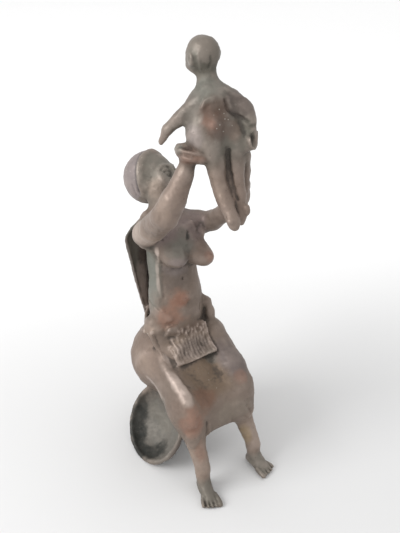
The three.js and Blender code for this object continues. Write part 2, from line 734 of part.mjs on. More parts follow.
// Edges are closed up, the least needed first, until few enough triangles are left.
// Each corner carries the sum of squared distances to the planes that met there.

const TERMS = 10;

function addPlane(sums, corner, normal, offset, weight) {
  const plane = [normal.x, normal.y, normal.z, offset];
  let at = corner * TERMS;
  for (let i = 0; i < 4; i += 1) {
    for (let j = i; j < 4; j += 1, at += 1) sums[at] += weight * plane[i] * plane[j];
  }
}

function planeError(q, { x, y, z }) {
  return x * (q[0] * x + 2 * (q[1] * y + q[2] * z + q[3]))
    + y * (q[4] * y + 2 * (q[5] * z + q[6]))
    + z * (q[7] * z + 2 * q[8]) + q[9];
}

// The place with the least error, or null where the planes don't settle one
function bestPlace(q) {
  const matrix = new THREE.Matrix3().set(q[0], q[1], q[2], q[1], q[4], q[5], q[2], q[5], q[7]);
  const size = (q[0] + q[4] + q[7]) / 3;
  if (matrix.determinant() < 1e-4 * size ** 3) return null;
  return new THREE.Vector3(-q[3], -q[6], -q[8]).applyMatrix3(matrix.invert());
}

class Heap {
  constructor() {
    this.items = [];
  }

  push(item) {
    const { items } = this;
    let at = items.push(item) - 1;
    while (at > 0) {
      const parent = (at - 1) >> 1;
      if (items[parent].cost <= item.cost) break;
      items[at] = items[parent];
      at = parent;
    }
    items[at] = item;
  }

  pop() {
    const { items } = this;
    const first = items[0];
    const item = items.pop();
    let at = 0;
    while (2 * at + 1 < items.length) {
      let child = 2 * at + 1;
      if (child + 1 < items.length && items[child + 1].cost < items[child].cost) child += 1;
      if (items[child].cost >= item.cost) break;
      items[at] = items[child];
      at = child;
    }
    if (items.length > 0) items[at] = item;
    return first;
  }
}

function simplified({ points, faces }) {
  const sums = new Float64Array(points.length * TERMS);
  const touching = points.map(() => []);
  const versions = new Int32Array(points.length);
  const edge = new THREE.Vector3();
  const crossOf = (a, b, c, target) => target.subVectors(b, a).cross(edge.subVectors(c, a));
  const normal = new THREE.Vector3();
  faces.forEach((face, index) => {
    const [a, b, c] = face.map((corner) => points[corner]);
    const area = crossOf(a, b, c, normal).length() / 2;
    normal.normalize();
    for (const corner of face) {
      touching[corner].push(index);
      addPlane(sums, corner, normal, -normal.dot(a), area);
    }
  });

  const neighbours = (vertex) => {
    const found = new Set();
    for (const index of touching[vertex]) for (const corner of faces[index]) found.add(corner);
    found.delete(vertex);
    return found;
  };

  const heap = new Heap();
  const both = new Float64Array(TERMS);
  const consider = (a, b) => {
    for (let i = 0; i < TERMS; i += 1) both[i] = sums[a * TERMS + i] + sums[b * TERMS + i];
    const length = points[a].distanceToSquared(points[b]);
    const middle = points[a].clone().lerp(points[b], 0.5);
    const best = bestPlace(both);
    const place = best !== null && best.distanceToSquared(middle) < length ? best : middle;
    const cost = Math.max(planeError(both, place), 0) + LENGTH_COST * length;
    heap.push({ cost, place, a, b, versionA: versions[a], versionB: versions[b] });
  };

  // Closing an edge turns no neighbouring triangle over and makes none much thinner than it was
  const before = new THREE.Vector3();
  const after = new THREE.Vector3();
  const fatness = (a, b, c, doubled) => doubled
    / Math.max(a.distanceToSquared(b), b.distanceToSquared(c), c.distanceToSquared(a));
  const keepsShape = (vertex, other, place) => touching[vertex].every((index) => {
    const face = faces[index];
    if (face.includes(other)) return true;
    const old = face.map((corner) => points[corner]);
    const next = face.map((corner) => (corner === vertex ? place : points[corner]));
    const oldSize = crossOf(...old, before).length();
    const newSize = crossOf(...next, after).length();
    if (before.dot(after) < 0.3 * oldSize * newSize) return false;
    return fatness(...next, newSize) > Math.min(THINNEST, fatness(...old, oldSize));
  });

  // Closes the edge into one point, if a place for it keeps the surface whole
  const close = ({ a, b, place }) => {
    const others = neighbours(b);
    const shared = [...neighbours(a)].filter((corner) => others.has(corner));
    if (shared.length !== 2) return 0;
    const middle = points[a].clone().lerp(points[b], 0.5);
    const fit = [place, middle, points[a], points[b]]
      .find((choice) => keepsShape(a, b, choice) && keepsShape(b, a, choice));
    if (fit === undefined) return 0;
    for (const index of touching[b]) {
      const face = faces[index];
      if (face.includes(a)) {
        faces[index] = null;
      } else {
        face[face.indexOf(b)] = a;
        touching[a].push(index);
      }
    }
    touching[b] = [];
    for (const corner of [a, ...shared]) {
      touching[corner] = touching[corner].filter((index) => faces[index] !== null);
    }
    points[a] = fit.clone();
    for (let i = 0; i < TERMS; i += 1) sums[a * TERMS + i] += sums[b * TERMS + i];
    versions[a] += 1;
    versions[b] = -1;
    for (const corner of neighbours(a)) consider(Math.min(a, corner), Math.max(a, corner));
    return 2;
  };

  let left = faces.length;
  for (let pass = 0; pass < PASSES && left > MOST_TRIANGLES; pass += 1) {
    for (let vertex = 0; vertex < points.length; vertex += 1) {
      for (const other of neighbours(vertex)) if (other > vertex) consider(vertex, other);
    }
    while (left > MOST_TRIANGLES && heap.items.length > 0) {
      const choice = heap.pop();
      const fresh = versions[choice.a] === choice.versionA && versions[choice.b] === choice.versionB;
      if (fresh) left -= close(choice);
    }
  }
  return { points, faces: faces.filter((face) => face !== null) };
}

function surfaceOf(shape) {
  const { points, faces } = simplified(march(shape));
  const used = new Map();
  const positions = [];
  const index = faces.flat().map((corner) => {
    if (!used.has(corner)) {
      used.set(corner, used.size);
      positions.push(...points[corner].toArray());
    }
    return used.get(corner);
  });
  const geometry = new THREE.BufferGeometry();
  geometry.setAttribute('position', new THREE.Float32BufferAttribute(positions, 3));
  geometry.setIndex(index);
  return geometry;
}

// The origin is on the table, in the middle of the figure's outline
function centred(geometry) {
  geometry.computeBoundingBox();
  const { min, max } = geometry.boundingBox;
  geometry.translate(-(min.x + max.x) / 2, -(min.y + max.y) / 2, -min.z);
  geometry.computeVertexNormals();
  return geometry;
}

const group = new THREE.Group();
const cast = new THREE.Mesh(centred(surfaceOf(figure())), new THREE.MeshStandardMaterial(BRONZE));
cast.name = 'maternity_figure';
group.add(cast);

export default group;
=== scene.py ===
# %% [markdown]
# # A cast bronze maternity figure
# A mother sits in a wrapped skirt, leans back and lifts her child up in both hands. A bowl leans beside her.
# The real piece was modelled in wax, cast hollow in bronze and handled for years.
# The imported model already holds its forms, so this lesson keeps them and adds what wax and use leave on
# them: rolled strands, toes and curls, an uneven skin, and a patina that is dark in the hollows and rubbed
# on the ridges. Painted shade and a few painted highlights are also laid into the colour.

# %% Load the imported model as a fixed frame
import json
import math

import bpy
import numpy as np
from mathutils import Matrix, Vector
from mathutils.bvhtree import BVHTree

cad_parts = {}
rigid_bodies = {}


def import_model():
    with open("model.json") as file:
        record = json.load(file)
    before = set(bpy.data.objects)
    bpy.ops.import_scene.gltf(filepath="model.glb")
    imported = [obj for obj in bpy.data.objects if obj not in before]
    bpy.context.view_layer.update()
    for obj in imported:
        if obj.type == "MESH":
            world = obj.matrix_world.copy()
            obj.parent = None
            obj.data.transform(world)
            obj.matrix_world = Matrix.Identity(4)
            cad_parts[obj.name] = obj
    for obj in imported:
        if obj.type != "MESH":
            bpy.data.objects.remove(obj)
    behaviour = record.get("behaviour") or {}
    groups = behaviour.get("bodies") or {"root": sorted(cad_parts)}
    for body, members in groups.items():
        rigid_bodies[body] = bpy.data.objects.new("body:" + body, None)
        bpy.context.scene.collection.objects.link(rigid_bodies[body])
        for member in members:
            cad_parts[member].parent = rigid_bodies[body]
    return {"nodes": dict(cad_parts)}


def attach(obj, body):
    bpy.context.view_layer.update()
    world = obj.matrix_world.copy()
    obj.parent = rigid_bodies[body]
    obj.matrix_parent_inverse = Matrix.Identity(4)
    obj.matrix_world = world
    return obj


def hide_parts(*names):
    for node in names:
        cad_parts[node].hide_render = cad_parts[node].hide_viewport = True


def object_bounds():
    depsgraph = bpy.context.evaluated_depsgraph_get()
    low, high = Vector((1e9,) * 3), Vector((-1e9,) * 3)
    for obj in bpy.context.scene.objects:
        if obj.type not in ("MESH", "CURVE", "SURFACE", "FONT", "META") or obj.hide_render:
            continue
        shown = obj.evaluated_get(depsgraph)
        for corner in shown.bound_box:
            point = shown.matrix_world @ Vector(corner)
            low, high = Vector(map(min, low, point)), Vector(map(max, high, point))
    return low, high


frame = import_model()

cad_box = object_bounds()
casting = frame["nodes"]["maternity_figure"]
print("casting", len(casting.data.polygons), "faces")
print("packed box", [tuple(round(v, 4) for v in corner) for corner in cad_box])

# %% [markdown]
# ## Places on the figure
# A modeller measures from the mother's middle line, but the frame's origin is the middle of the whole
# outline. One fixed shift takes a place from the first to the second, so that every number below can be read
# in millimetres from her own middle: +X is her left, -Y is the way she faces, and +Z is up.

# %% Millimetres from her middle line to metres in the frame
HOME = Vector((2.872, 19.980, 0.016))


def at(x, y, z):
    return (Vector((x, y, z)) + HOME) / 1000


print("her middle line meets the table at", tuple(at(0, 0, 0)))

# %% [markdown]
# ## Camera
# The photograph looks down by 30 degrees from in front of her right side, and is near enough for strong
# perspective. A 52 mm lens at nearly 60 cm from her feet gives the same narrowing towards them.
# The camera comes first, so that each later step can be judged through it.

# %% Set the camera at the photograph's viewing angle
CAMERA_PLACE = (-232, -363.3, 385)
LOOK_DOWN = 30
LOOK_FROM_RIGHT = 35
LENS = 51.67
bpy.ops.object.camera_add(
    location=at(*CAMERA_PLACE),
    rotation=(math.radians(90 - LOOK_DOWN), 0, math.radians(-LOOK_FROM_RIGHT)),
)
camera = bpy.context.object
camera.name = "camera"
camera.data.lens = LENS
camera.data.clip_start = 0.01
bpy.context.scene.camera = camera
print("camera at", tuple(round(v, 3) for v in camera.location))

# %% [markdown]
# ## Table and light
# Dark bronze reads best on a plain pale table. A wall behind it would hide the figure in views from the back,
# so the table is one wide plane, and its tone only grows lighter away from the camera.
# A large soft lamp from the upper left and a pale sky keep the shadows faint.
# Two helpers add a shader node to the tree in hand and feed its sockets. The bronze needs them again.

# %% Lay the table and hang the lamp
def feed(socket, value):
    """Links a socket to another node's, or sets its constant."""
    if isinstance(value, bpy.types.NodeSocket):
        tree.links.new(value, socket)
    else:
        socket.default_value = value


def add(kind, settings=None, **inputs):
    """Adds a node to the tree in hand, with its settings, and feeds its inputs. _1 is the second socket."""
    made = tree.nodes.new(kind)
    for name, value in (settings or {}).items():
        setattr(made, name, value)
    for name, value in inputs.items():
        feed(made.inputs[int(name[1:]) if name[0] == "_" else name.replace("_", " ")], value)
    return made


bpy.ops.mesh.primitive_plane_add(size=6)
table = bpy.context.object
table.name = "table"

NEAR_TONE = (0.70, 0.70, 0.70, 1)
FAR_TONE = (1.0, 1.0, 1.0, 1)
FAR_EDGE = 0.46
table_paint = bpy.data.materials.new("white_table")
table_paint.use_nodes = True
tree = table_paint.node_tree
place = add("ShaderNodeTexCoord").outputs["Object"]
view_turn = math.radians(LOOK_FROM_RIGHT)
view = (math.sin(view_turn), math.cos(view_turn), 0)
ahead = add("ShaderNodeVectorMath", {"operation": "DOT_PRODUCT"}, _0=place, _1=view).outputs["Value"]
edge = add("ShaderNodeMapRange", {"interpolation_type": "SMOOTHSTEP"}, Value=ahead, From_Max=FAR_EDGE)
tone = add("ShaderNodeMix", {"data_type": "RGBA"}, Factor=edge.outputs["Result"], A=NEAR_TONE, B=FAR_TONE)
surface = tree.nodes["Principled BSDF"]
feed(surface.inputs["Base Color"], tone.outputs["Result"])
surface.inputs["Roughness"].default_value = 0.7
surface.inputs["Specular IOR Level"].default_value = 0.2
table.data.materials.append(table_paint)

LAMP_PLACE = Vector((-0.95, 0.15, 0.75))
LIT_PLACE = Vector((0, 0, 0.14))
bpy.ops.object.light_add(type="AREA", location=LAMP_PLACE)
lamp = bpy.context.object
lamp.name = "key_lamp"
lamp.data.size = 0.7
lamp.data.energy = 9
lamp.rotation_euler = (LIT_PLACE - LAMP_PLACE).to_track_quat("-Z", "Y").to_euler()
world = bpy.context.scene.world or bpy.data.worlds.new("pale_sky")
bpy.context.scene.world = world
world.use_nodes = True
sky = world.node_tree.nodes["Background"]
sky.inputs["Color"].default_value = (1, 1, 1, 1)
sky.inputs["Strength"].default_value = 0.95
bpy.context.scene.view_settings.view_transform = "Standard"
print("stage: table, one soft lamp, pale sky")

# %% [markdown]
# ## From facets to skin
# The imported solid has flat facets, and a casting has none. Its mesh is never changed, so the work is done on
# a copy: its doubled corners are merged first, and two rounds of subdivision then draw a smooth skin through
# the facets. The same few helpers finish every later piece, so they are made here.

# %% Copy the casting and smooth it
def alone(piece):
    bpy.ops.object.select_all(action="DESELECT")
    piece.select_set(True)
    bpy.context.view_layer.objects.active = piece


def finish_with(piece, kind, **settings):
    """Adds one modifier with its settings and applies it."""
    alone(piece)
    bpy.ops.object.modifier_add(type=kind)
    modifier = piece.modifiers[-1]
    for name, value in settings.items():
        setattr(modifier, name, value)
    bpy.ops.object.modifier_apply(modifier=modifier.name)


def merge_doubles(piece):
    alone(piece)
    bpy.ops.object.mode_set(mode="EDIT")
    bpy.ops.mesh.select_all(action="SELECT")
    bpy.ops.mesh.remove_doubles(threshold=1e-6)
    bpy.ops.object.mode_set(mode="OBJECT")


alone(casting)
bpy.ops.object.duplicate()
figure = bpy.context.object
bpy.ops.object.parent_clear(type="CLEAR_KEEP_TRANSFORM")
figure.name = "bronze_figure"
for key in list(figure.keys()):
    del figure[key]
figure.data.materials.clear()
merge_doubles(figure)
finish_with(figure, "SUBSURF", levels=2)
print("skin", len(figure.data.polygons), "faces")

# %% [markdown]
# ## Rolls and lumps of wax
# A wax modeller adds small things in two ways: a roll is laid along a line, and a lump is pressed on.
# A roll is a curve with a round section that swells and tapers, turned into a mesh.
# A lump is a ball that is stretched in edit mode and then turned. All are melted into the skin later.

# %% Make rolls and lumps
MILLIMETRE = 0.001
added = []


def wax_roll(name, stations):
    """A tapering roll through stations (x, y, z, radius) in millimetres."""
    bpy.ops.curve.primitive_bezier_curve_add()
    roll = bpy.context.object
    roll.name = name
    curve = roll.data
    curve.splines.clear()
    spline = curve.splines.new("NURBS")
    spline.points.add(len(stations) - 1)
    for knot, (x, y, z, radius) in zip(spline.points, stations):
        knot.co = (*at(x, y, z), 1)
        knot.radius = radius
    spline.use_endpoint_u = True
    spline.order_u = 3
    spline.resolution_u = 5
    curve.bevel_depth = MILLIMETRE
    curve.bevel_resolution = 3
    curve.use_fill_caps = True
    alone(roll)
    bpy.ops.object.convert(target="MESH")
    merge_doubles(roll)
    added.append(roll)


def wax_lump(name, centre, radii, turn=None):
    """A stretched ball at a place, turned by a 3x3 matrix, in millimetres."""
    bpy.ops.mesh.primitive_uv_sphere_add(segments=20, ring_count=12, radius=MILLIMETRE)
    lump = bpy.context.object
    lump.name = name
    bpy.ops.object.mode_set(mode="EDIT")
    bpy.ops.mesh.select_all(action="SELECT")
    bpy.ops.transform.resize(value=radii)
    bpy.ops.object.mode_set(mode="OBJECT")
    turned = (turn or Matrix.Identity(3)).to_4x4()
    lump.matrix_world = Matrix.Translation(at(*centre)) @ turned
    alone(lump)
    bpy.ops.object.transform_apply(location=True, rotation=True, scale=True)
    added.append(lump)


# %% [markdown]
# ## The mother's face and hair
# Her head is drawn upright round its own middle, turned to her left and leant back, as the casting's is.
# The face is a plain calm one on the usual shares of a head: eyes half way up, and the nose's end a quarter
# above the chin. Lids and lips are thin rolls, because a raised line keeps its form when the skin is melted.

# %% Lay lids, brows, nose, lips and ears on the leaning head
HEAD_PLACE = Vector((2.6, 22, 188.2))
HEAD_TURN = Matrix.Rotation(math.radians(-42), 3, "X") @ Matrix.Rotation(math.radians(28), 3, "Z")


def on_head(x, y, z):
    return tuple(HEAD_TURN @ Vector((x, y, z)) + HEAD_PLACE)


def head_roll(name, side, *stations):
    """A roll on her head, mirrored where side is -1."""
    wax_roll(name, [(*on_head(side * x, y, z), radius) for x, y, z, radius in stations])


for side, word in ((-1, "right"), (1, "left")):
    wax_lump(f"eye_{word}", on_head(side * 5.4, -12.7, 0), (2.7, 1.9, 1.6), HEAD_TURN)
    head_roll(
        f"upper_lid_{word}", side,
        (2.5, -13.6, -0.3, 0.35), (4.2, -14.7, 1.3, 0.6), (6.6, -14.1, 1.3, 0.6),
        (8.6, -11.9, -0.4, 0.35),
    )
    head_roll(
        f"lower_lid_{word}", side,
        (2.5, -13.6, -0.3, 0.35), (4.4, -14.4, -1.6, 0.45), (6.6, -13.8, -1.6, 0.45),
        (8.6, -11.9, -0.4, 0.35),
    )
    head_roll(f"brow_{word}", side, (1.6, -14.6, 2.8, 0.8), (5, -14.6, 4.6, 1.0), (9.4, -11.2, 3.2, 0.6))
    wax_lump(f"nostril_{word}", on_head(side * 2.3, -15.4, -6.9), (1.4, 1.5, 1.2), HEAD_TURN)
    head_roll(
        f"ear_rim_{word}", side,
        (13.9, -2.2, 3.2, 0.8), (14.8, -0.2, 4.4, 0.9), (15.0, 1.2, 1.2, 1.0), (14.3, 0.2, -2.6, 0.9),
        (13.2, -1.8, -5.0, 1.1),
    )
    head_roll(
        f"ear_bowl_{word}", side,
        (13.8, -2.4, 1.4, 0.7), (14.2, -0.6, 0.4, 0.6), (13.4, -1.8, -2.4, 0.7),
    )
head_roll("nose_bridge", 1, (0, -13.9, 2.8, 1.2), (0, -15.3, -1.5, 1.4), (0, -16.4, -5, 1.6))
wax_lump("nose_tip", on_head(0, -16.4, -6.4), (1.9, 1.9, 1.7), HEAD_TURN)
head_roll(
    "upper_lip", 1,
    (-4.3, -13.2, -11.1, 0.4), (-1.6, -15.3, -10.2, 0.9), (0, -15.2, -10.7, 0.8),
    (1.6, -15.3, -10.2, 0.9), (4.3, -13.2, -11.1, 0.4),
)
head_roll(
    "lower_lip", 1,
    (-3.9, -13.3, -11.5, 0.4), (-1.5, -14.9, -12.5, 1.1), (1.5, -14.9, -12.5, 1.1),
    (3.9, -13.3, -11.5, 0.4),
)
wax_lump("chin", on_head(0, -11.8, -16.2), (3.6, 3.2, 2.8), HEAD_TURN)
print("face in", len(added), "pieces")

# %% [markdown]
# Short curls show under the cap, behind the ears and down to the nape.
# Each curl is a small ring of wax. One ring is modelled, and the others are copies, each with its own mesh,
# set on the skull in rows that are shifted by half a curl.

# %% Set the curls round the nape
SKULL_CENTRE = Vector((0, 2.3, 4.2))
SKULL_RADII = Vector((14.7, 16.2, 15.4))


def on_skull(bearing, dip):
    """A place 1 mm off the skull and the way outwards there, from the bearing and the angle of dip."""
    level = math.cos(dip)
    outward = Vector((math.sin(bearing) * level, math.cos(bearing) * level, -math.sin(dip)))
    return Vector([c + r * v for c, r, v in zip(SKULL_CENTRE, SKULL_RADII, outward)]) + outward, outward


bpy.ops.mesh.primitive_torus_add(
    major_segments=12, minor_segments=6, major_radius=0.9 * MILLIMETRE, minor_radius=0.5 * MILLIMETRE
)
first_curl = bpy.context.object
first_curl.name = "curl"
NAPE_DIPS = (26, 36, 46, 56, 66)
NAPE_SPREAD = 224
CAP_COVERS = math.radians(62)
curls = 0
for row, dip in enumerate(NAPE_DIPS):
    count = 19 - 2 * row
    for i in range(count):
        bearing = math.radians(-NAPE_SPREAD / 2 + NAPE_SPREAD * (i + 0.5 * (row % 2)) / count)
        if row < 2 and abs(bearing) < CAP_COVERS:
            continue
        local, outward = on_skull(bearing, math.radians(dip))
        curl = first_curl.copy()
        curl.data = first_curl.data.copy()
        bpy.context.collection.objects.link(curl)
        turn = HEAD_TURN @ outward.to_track_quat("Z", "Y").to_matrix()
        curl.matrix_world = Matrix.Translation(at(*on_head(*local))) @ turn.to_4x4()
        alone(curl)
        bpy.ops.object.transform_apply(location=True, rotation=True, scale=True)
        added.append(curl)
        curls += 1
bpy.data.objects.remove(first_curl)
print(curls, "curls round the nape")

# %% [markdown]
# The cap ends in front where a slanting plane cuts the skull. A point of that edge is found by halving:
# from a place inside the skull, the step outwards is halved until it ends on the skull's surface.

# %% Roll the cap's edge
CAP_SLANT = math.radians(22)
CAP_FRONT = Vector((0, -3.8, 13))
CAP_UP = Vector((0, -math.sin(CAP_SLANT), math.cos(CAP_SLANT)))
CAP_BACK = Vector((0, math.cos(CAP_SLANT), math.sin(CAP_SLANT)))
CAP_GROOVE = 1.6
EDGE_LIFT = 1.6
EDGE_ENDS = 128
EDGE_STEP = 16
HALVINGS = 24
middle = CAP_FRONT - CAP_UP * 9
cap_edge = []
for bearing in range(-EDGE_ENDS, EDGE_ENDS + 1, EDGE_STEP):
    around = math.radians(bearing)
    across = Vector((math.sin(around), 0, 0)) + math.cos(around) * CAP_UP
    low, high = 0.0, 40.0
    for halving in range(HALVINGS):
        reach = (low + high) / 2
        trial = middle + across * reach - SKULL_CENTRE
        inside = sum((v / r) ** 2 for v, r in zip(trial, SKULL_RADII)) < 1
        low, high = (reach, high) if inside else (low, reach)
    cap_edge.append(tuple(middle + across * (low + EDGE_LIFT)))
head_roll("cap_edge", 1, *[(x, y, z, 0.75) for x, y, z in cap_edge])
print("cap edge in", len(cap_edge), "places")

# %% [markdown]
# ## The child's head
# The child looks down at its mother, so its face is on the far side from the camera.
# It is made in the same way as hers, smaller and rounder, because the group is also looked at from behind.

# %% Lay the child's features
CHILD_PLACE = Vector((0, -35.5, 280.8))
CHILD_TURN = Matrix.Rotation(math.radians(-14), 3, "X") @ Matrix.Rotation(math.radians(6), 3, "Z")


def on_child(x, y, z):
    return tuple(CHILD_TURN @ Vector((x, y, z)) + CHILD_PLACE)


def child_roll(name, side, *stations):
    wax_roll(name, [(*on_child(side * x, y, z), radius) for x, y, z, radius in stations])


for side, word in ((-1, "left"), (1, "right")):
    wax_lump(f"child_eye_{word}", on_child(side * 3.3, 8.6, 0.2), (1.6, 1.2, 1.0), CHILD_TURN)
    child_roll(f"child_lid_{word}", side, (1.7, 9.3, 0, 0.3), (3.3, 10.1, 1.0, 0.45), (5, 8.2, 0, 0.3))
    child_roll(f"child_brow_{word}", side, (1.2, 9.8, 2.2, 0.5), (3.4, 9.8, 3.0, 0.6), (5.6, 8, 2.2, 0.4))
    child_roll(
        f"child_ear_{word}", side,
        (8.8, 0.6, 2.0, 0.7), (9.6, -1.2, 1.6, 0.8), (9.9, -1.8, -0.8, 0.8), (9.0, 0.2, -3.8, 0.9),
    )
child_roll("child_nose", 1, (0, 9.8, 1.4, 0.7), (0, 10.6, -1.6, 1.0), (0, 11.0, -3, 1.4))
child_roll("child_upper_lip", 1, (-2.3, 8.9, -5.9, 0.3), (0, 10.6, -5.5, 0.65), (2.3, 8.9, -5.9, 0.3))
child_roll("child_lower_lip", 1, (-2.1, 8.8, -6.3, 0.3), (0, 10.2, -6.9, 0.75), (2.1, 8.8, -6.3, 0.3))
print("child's features laid,", len(added), "pieces so far")

# %% [markdown]
# ## Hands and feet
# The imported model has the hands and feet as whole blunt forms. On the real piece each toe is a roll of its
# own with a gap beside it. Her right hand is nearly a mitten, a level palm with a rounded edge, and her left
# hand is a small cup round the child's wrist.

# %% Round the hands
wax_roll("hand_right_rim", [
    (-19.4, -37.4, 233.6, 1.5), (-20.6, -41.6, 234.8, 1.5), (-19.2, -46.2, 234.6, 1.3),
    (-16.8, -50.2, 234.4, 1.2), (-14.2, -53, 234.2, 1.2), (-11.6, -54.4, 233.6, 1.1),
])
wax_roll("forearm_left_side", [
    (11.6, -59, 230, 1.8), (13.8, -56.8, 223.4, 2.0), (16.2, -54.2, 216, 2.0), (19.2, -50.6, 208, 1.9),
    (22, -46.5, 199, 1.6),
])
wax_lump("hand_right_palm", (-17, -47, 231.4), (4.6, 6.4, 2.6), Matrix.Rotation(math.radians(30), 3, "Z"))
wax_roll("hand_left_rim", [
    (14, -61, 245, 1.2), (11.6, -64, 246, 1.2), (8.8, -65.6, 243, 1.2), (8.4, -66, 239.4, 1.3),
    (10.8, -65.8, 236, 1.3), (14, -63.4, 235.4, 1.3), (16.6, -60.6, 238.6, 1.4), (16.4, -60.2, 243, 1.4),
])
print("hands rounded,", len(added), "pieces so far")

# %% [markdown]
# The toes are laid over the blunt ones, a little longer, and the line of each gap is kept to be pressed
# later. A lump at the knee carries the skirt's cloth down on to the near shin, and a roll over each instep
# does the same from shin to foot.

# %% Lay the toes and the insteps
FEET = {
    # the side of the big toe, the ankle and the end of the foot
    "right": (1, (-18.3, -62), (-23, -79)),
    "left": (-1, (24, -61.8), (26.2, -76.4)),
}
# The toes are drawn on a foot of this length and stretched to the length of each.
DRAWN_FOOT = 17.6
toe_gaps = []
for word, (side, ankle, toe) in FEET.items():
    heading = Vector((toe[0] - ankle[0], toe[1] - ankle[1]))
    long = heading.length / DRAWN_FOOT
    heading.normalize()

    def on_foot(forward, sideways, z):
        return (
            ankle[0] + long * forward * heading.x - sideways * heading.y,
            ankle[1] + long * forward * heading.y + sideways * heading.x,
            z,
        )

    for i in range(-2, 3):
        inner = i * side
        big = 0.55 if inner == 2 else 0
        wax_roll(f"toe_{word}_{i}", [
            (*on_foot(9.5, i * 2.1, 3.4), 1.2 + big),
            (*on_foot(13, i * 2.5, 2.9), 1.2 + big),
            (*on_foot(16.2 + inner * 0.4, i * 2.75, 2.1), 1.2 + big),
            (*on_foot(19.2 + inner * 0.4 - 0.35 * i * i, i * 2.7, 1.5), 1.1 + big),
        ])
        if i < 2:
            gap = [on_foot(11.5, i * 2.3 + 1.1, 4.6), on_foot(18.6, i * 2.9 + 1.45, 1.6)]
            toe_gaps.append((gap, 1.1, 0.7))
wax_lump("shin_root", (-23, -57.2, 46), (5.6, 4.2, 11))
wax_roll("instep_right", [
    (-20.4, -60, 24, 3.6), (-20, -62.5, 11, 4.0), (-20.8, -68, 5.6, 3.6), (-22, -73, 3.6, 2.8),
])
wax_roll("instep_left", [
    (21.6, -58, 26, 3.6), (22.8, -61, 13, 4.0), (23.8, -65.4, 6.4, 3.8), (25, -70.4, 4, 3.0),
])
print("toes laid,", len(added), "pieces so far")

# %% [markdown]
# ## The fringed apron
# A small cloth hangs from the waist over the lap. Its upper third is plain with small marks, and below it
# a row of strands lies side by side down to a thin rim. The cloth hangs askew, so places on it are given
# by how far across and how far up they are, and a ray shot at the skin finds the surface under each place.
# Two layers of level rolls make the plain cloth first.

# %% Find places on the apron and lay its sheet
skin = BVHTree.FromObject(figure, bpy.context.evaluated_depsgraph_get())
APRON_MIDDLE = Vector((-1.7, -24, 92))
APRON_HALF_WIDE = 13.9
APRON_HALF_TALL = 11.6
APRON_LEAN = math.radians(22)
APRON_SLOPE = 0.032
APRON_FLARE = 0.0095
APRON_OUT = Vector((0, -math.cos(APRON_LEAN), math.sin(APRON_LEAN)))


def on_apron(across, up, out=0.0):
    """A place on the apron's face. across and up go from -1 to 1, and out is in millimetres."""
    z = up * APRON_HALF_TALL * math.cos(APRON_LEAN)
    x = across * APRON_HALF_WIDE
    z -= (APRON_SLOPE + APRON_FLARE * z) * x
    start = APRON_MIDDLE + Vector((x, up * APRON_HALF_TALL * math.sin(APRON_LEAN), z)) + APRON_OUT * 20
    hit, normal = skin.ray_cast(at(*start), -APRON_OUT)[:2]
    return tuple(hit * 1000 - HOME + normal * out)


def on_pad(across, up, out=0.0):
    """A place on the apron's flat sheet, which bridges hollows of the skin under it by 4 mm at the most."""
    skin_place = Vector(on_apron(across, up))
    step = min(max((skin_place - APRON_MIDDLE).dot(-APRON_OUT), 0), 4)
    return tuple(skin_place + APRON_OUT * (step + out))


for i, up in enumerate(np.linspace(-0.86, 0.94, 16)):
    for layer, out in enumerate((-1.1, -2.8)):
        stations = [(*on_pad(across, up, out), 1.25) for across in np.linspace(-0.93, 0.93, 9)]
        wax_roll(f"apron_sheet_{i}_{layer}", stations)
print("apron sheet laid,", len(added), "pieces so far")

# %% [markdown]
# The strands, the border and the marks are laid on the cloth, each a little uneven. Their lines are kept,
# because these raised threads are rubbed pale later.

# %% Lay the strands, the border and the marks
STRANDS = 12
STRAND_RADIUS = 0.74
UNEVEN = 0.1
MARKS = 9
BORDER = 0.985
FOOT = -0.97
threads = []
rng = np.random.default_rng(7)
for i in range(STRANDS):
    across = -0.9 + 1.8 * i / (STRANDS - 1)
    stations = []
    for up in np.linspace(0.34 + UNEVEN * rng.standard_normal(), -0.9, 8):
        waver = UNEVEN / 5 * rng.standard_normal()
        radius = STRAND_RADIUS + UNEVEN * rng.standard_normal()
        stations.append((*on_pad(across + waver, up, 0.1), radius))
    wax_roll(f"strand_{i}", stations)
    threads.append([station[:3] for station in stations])
wax_roll("apron_foot_rim", [(*on_apron(across, FOOT, -0.2), 1.0) for across in np.linspace(-1, 1, 11)])
for side, word in ((-BORDER, "right"), (BORDER, "left")):
    wax_roll(f"apron_side_{word}", [(*on_pad(side, up, -0.4), 0.9) for up in np.linspace(0.9, -0.95, 9)])
for i in range(MARKS):
    across = -0.5 + 1.35 * i / (MARKS - 1)
    up = 0.62 + 0.12 * math.sin(i * 2.4)
    lean = 0.04 * math.cos(i * 1.7)
    stations = [
        (*on_pad(across - lean, up - 0.12, 0.3), 0.5),
        (*on_pad(across + lean, up, 0.7), 0.7),
        (*on_pad(across - lean, up + 0.12, 0.3), 0.5),
    ]
    wax_roll(f"apron_mark_{i}", stations)
    threads.append([station[:3] for station in stations])
for side in (-BORDER, BORDER):
    threads.append([on_pad(side, up, 0.4) for up in (0.9, 0.3, -0.3, -0.95)])
threads.append([on_apron(across, FOOT, 0.6) for across in (-1, -0.5, 0, 0.5, 1)])
print(STRANDS, "strands and", MARKS, "marks laid on the apron")

# %% [markdown]
# ## Soles, drape, fold and collar
# The child's soles are blunted with a lump each. Three rolls side by side carry the cloth of the waist down
# past the apron on to the lap, one more rounds the fold along the near thigh, and three bent rolls are the
# curls of the collar under her chin.

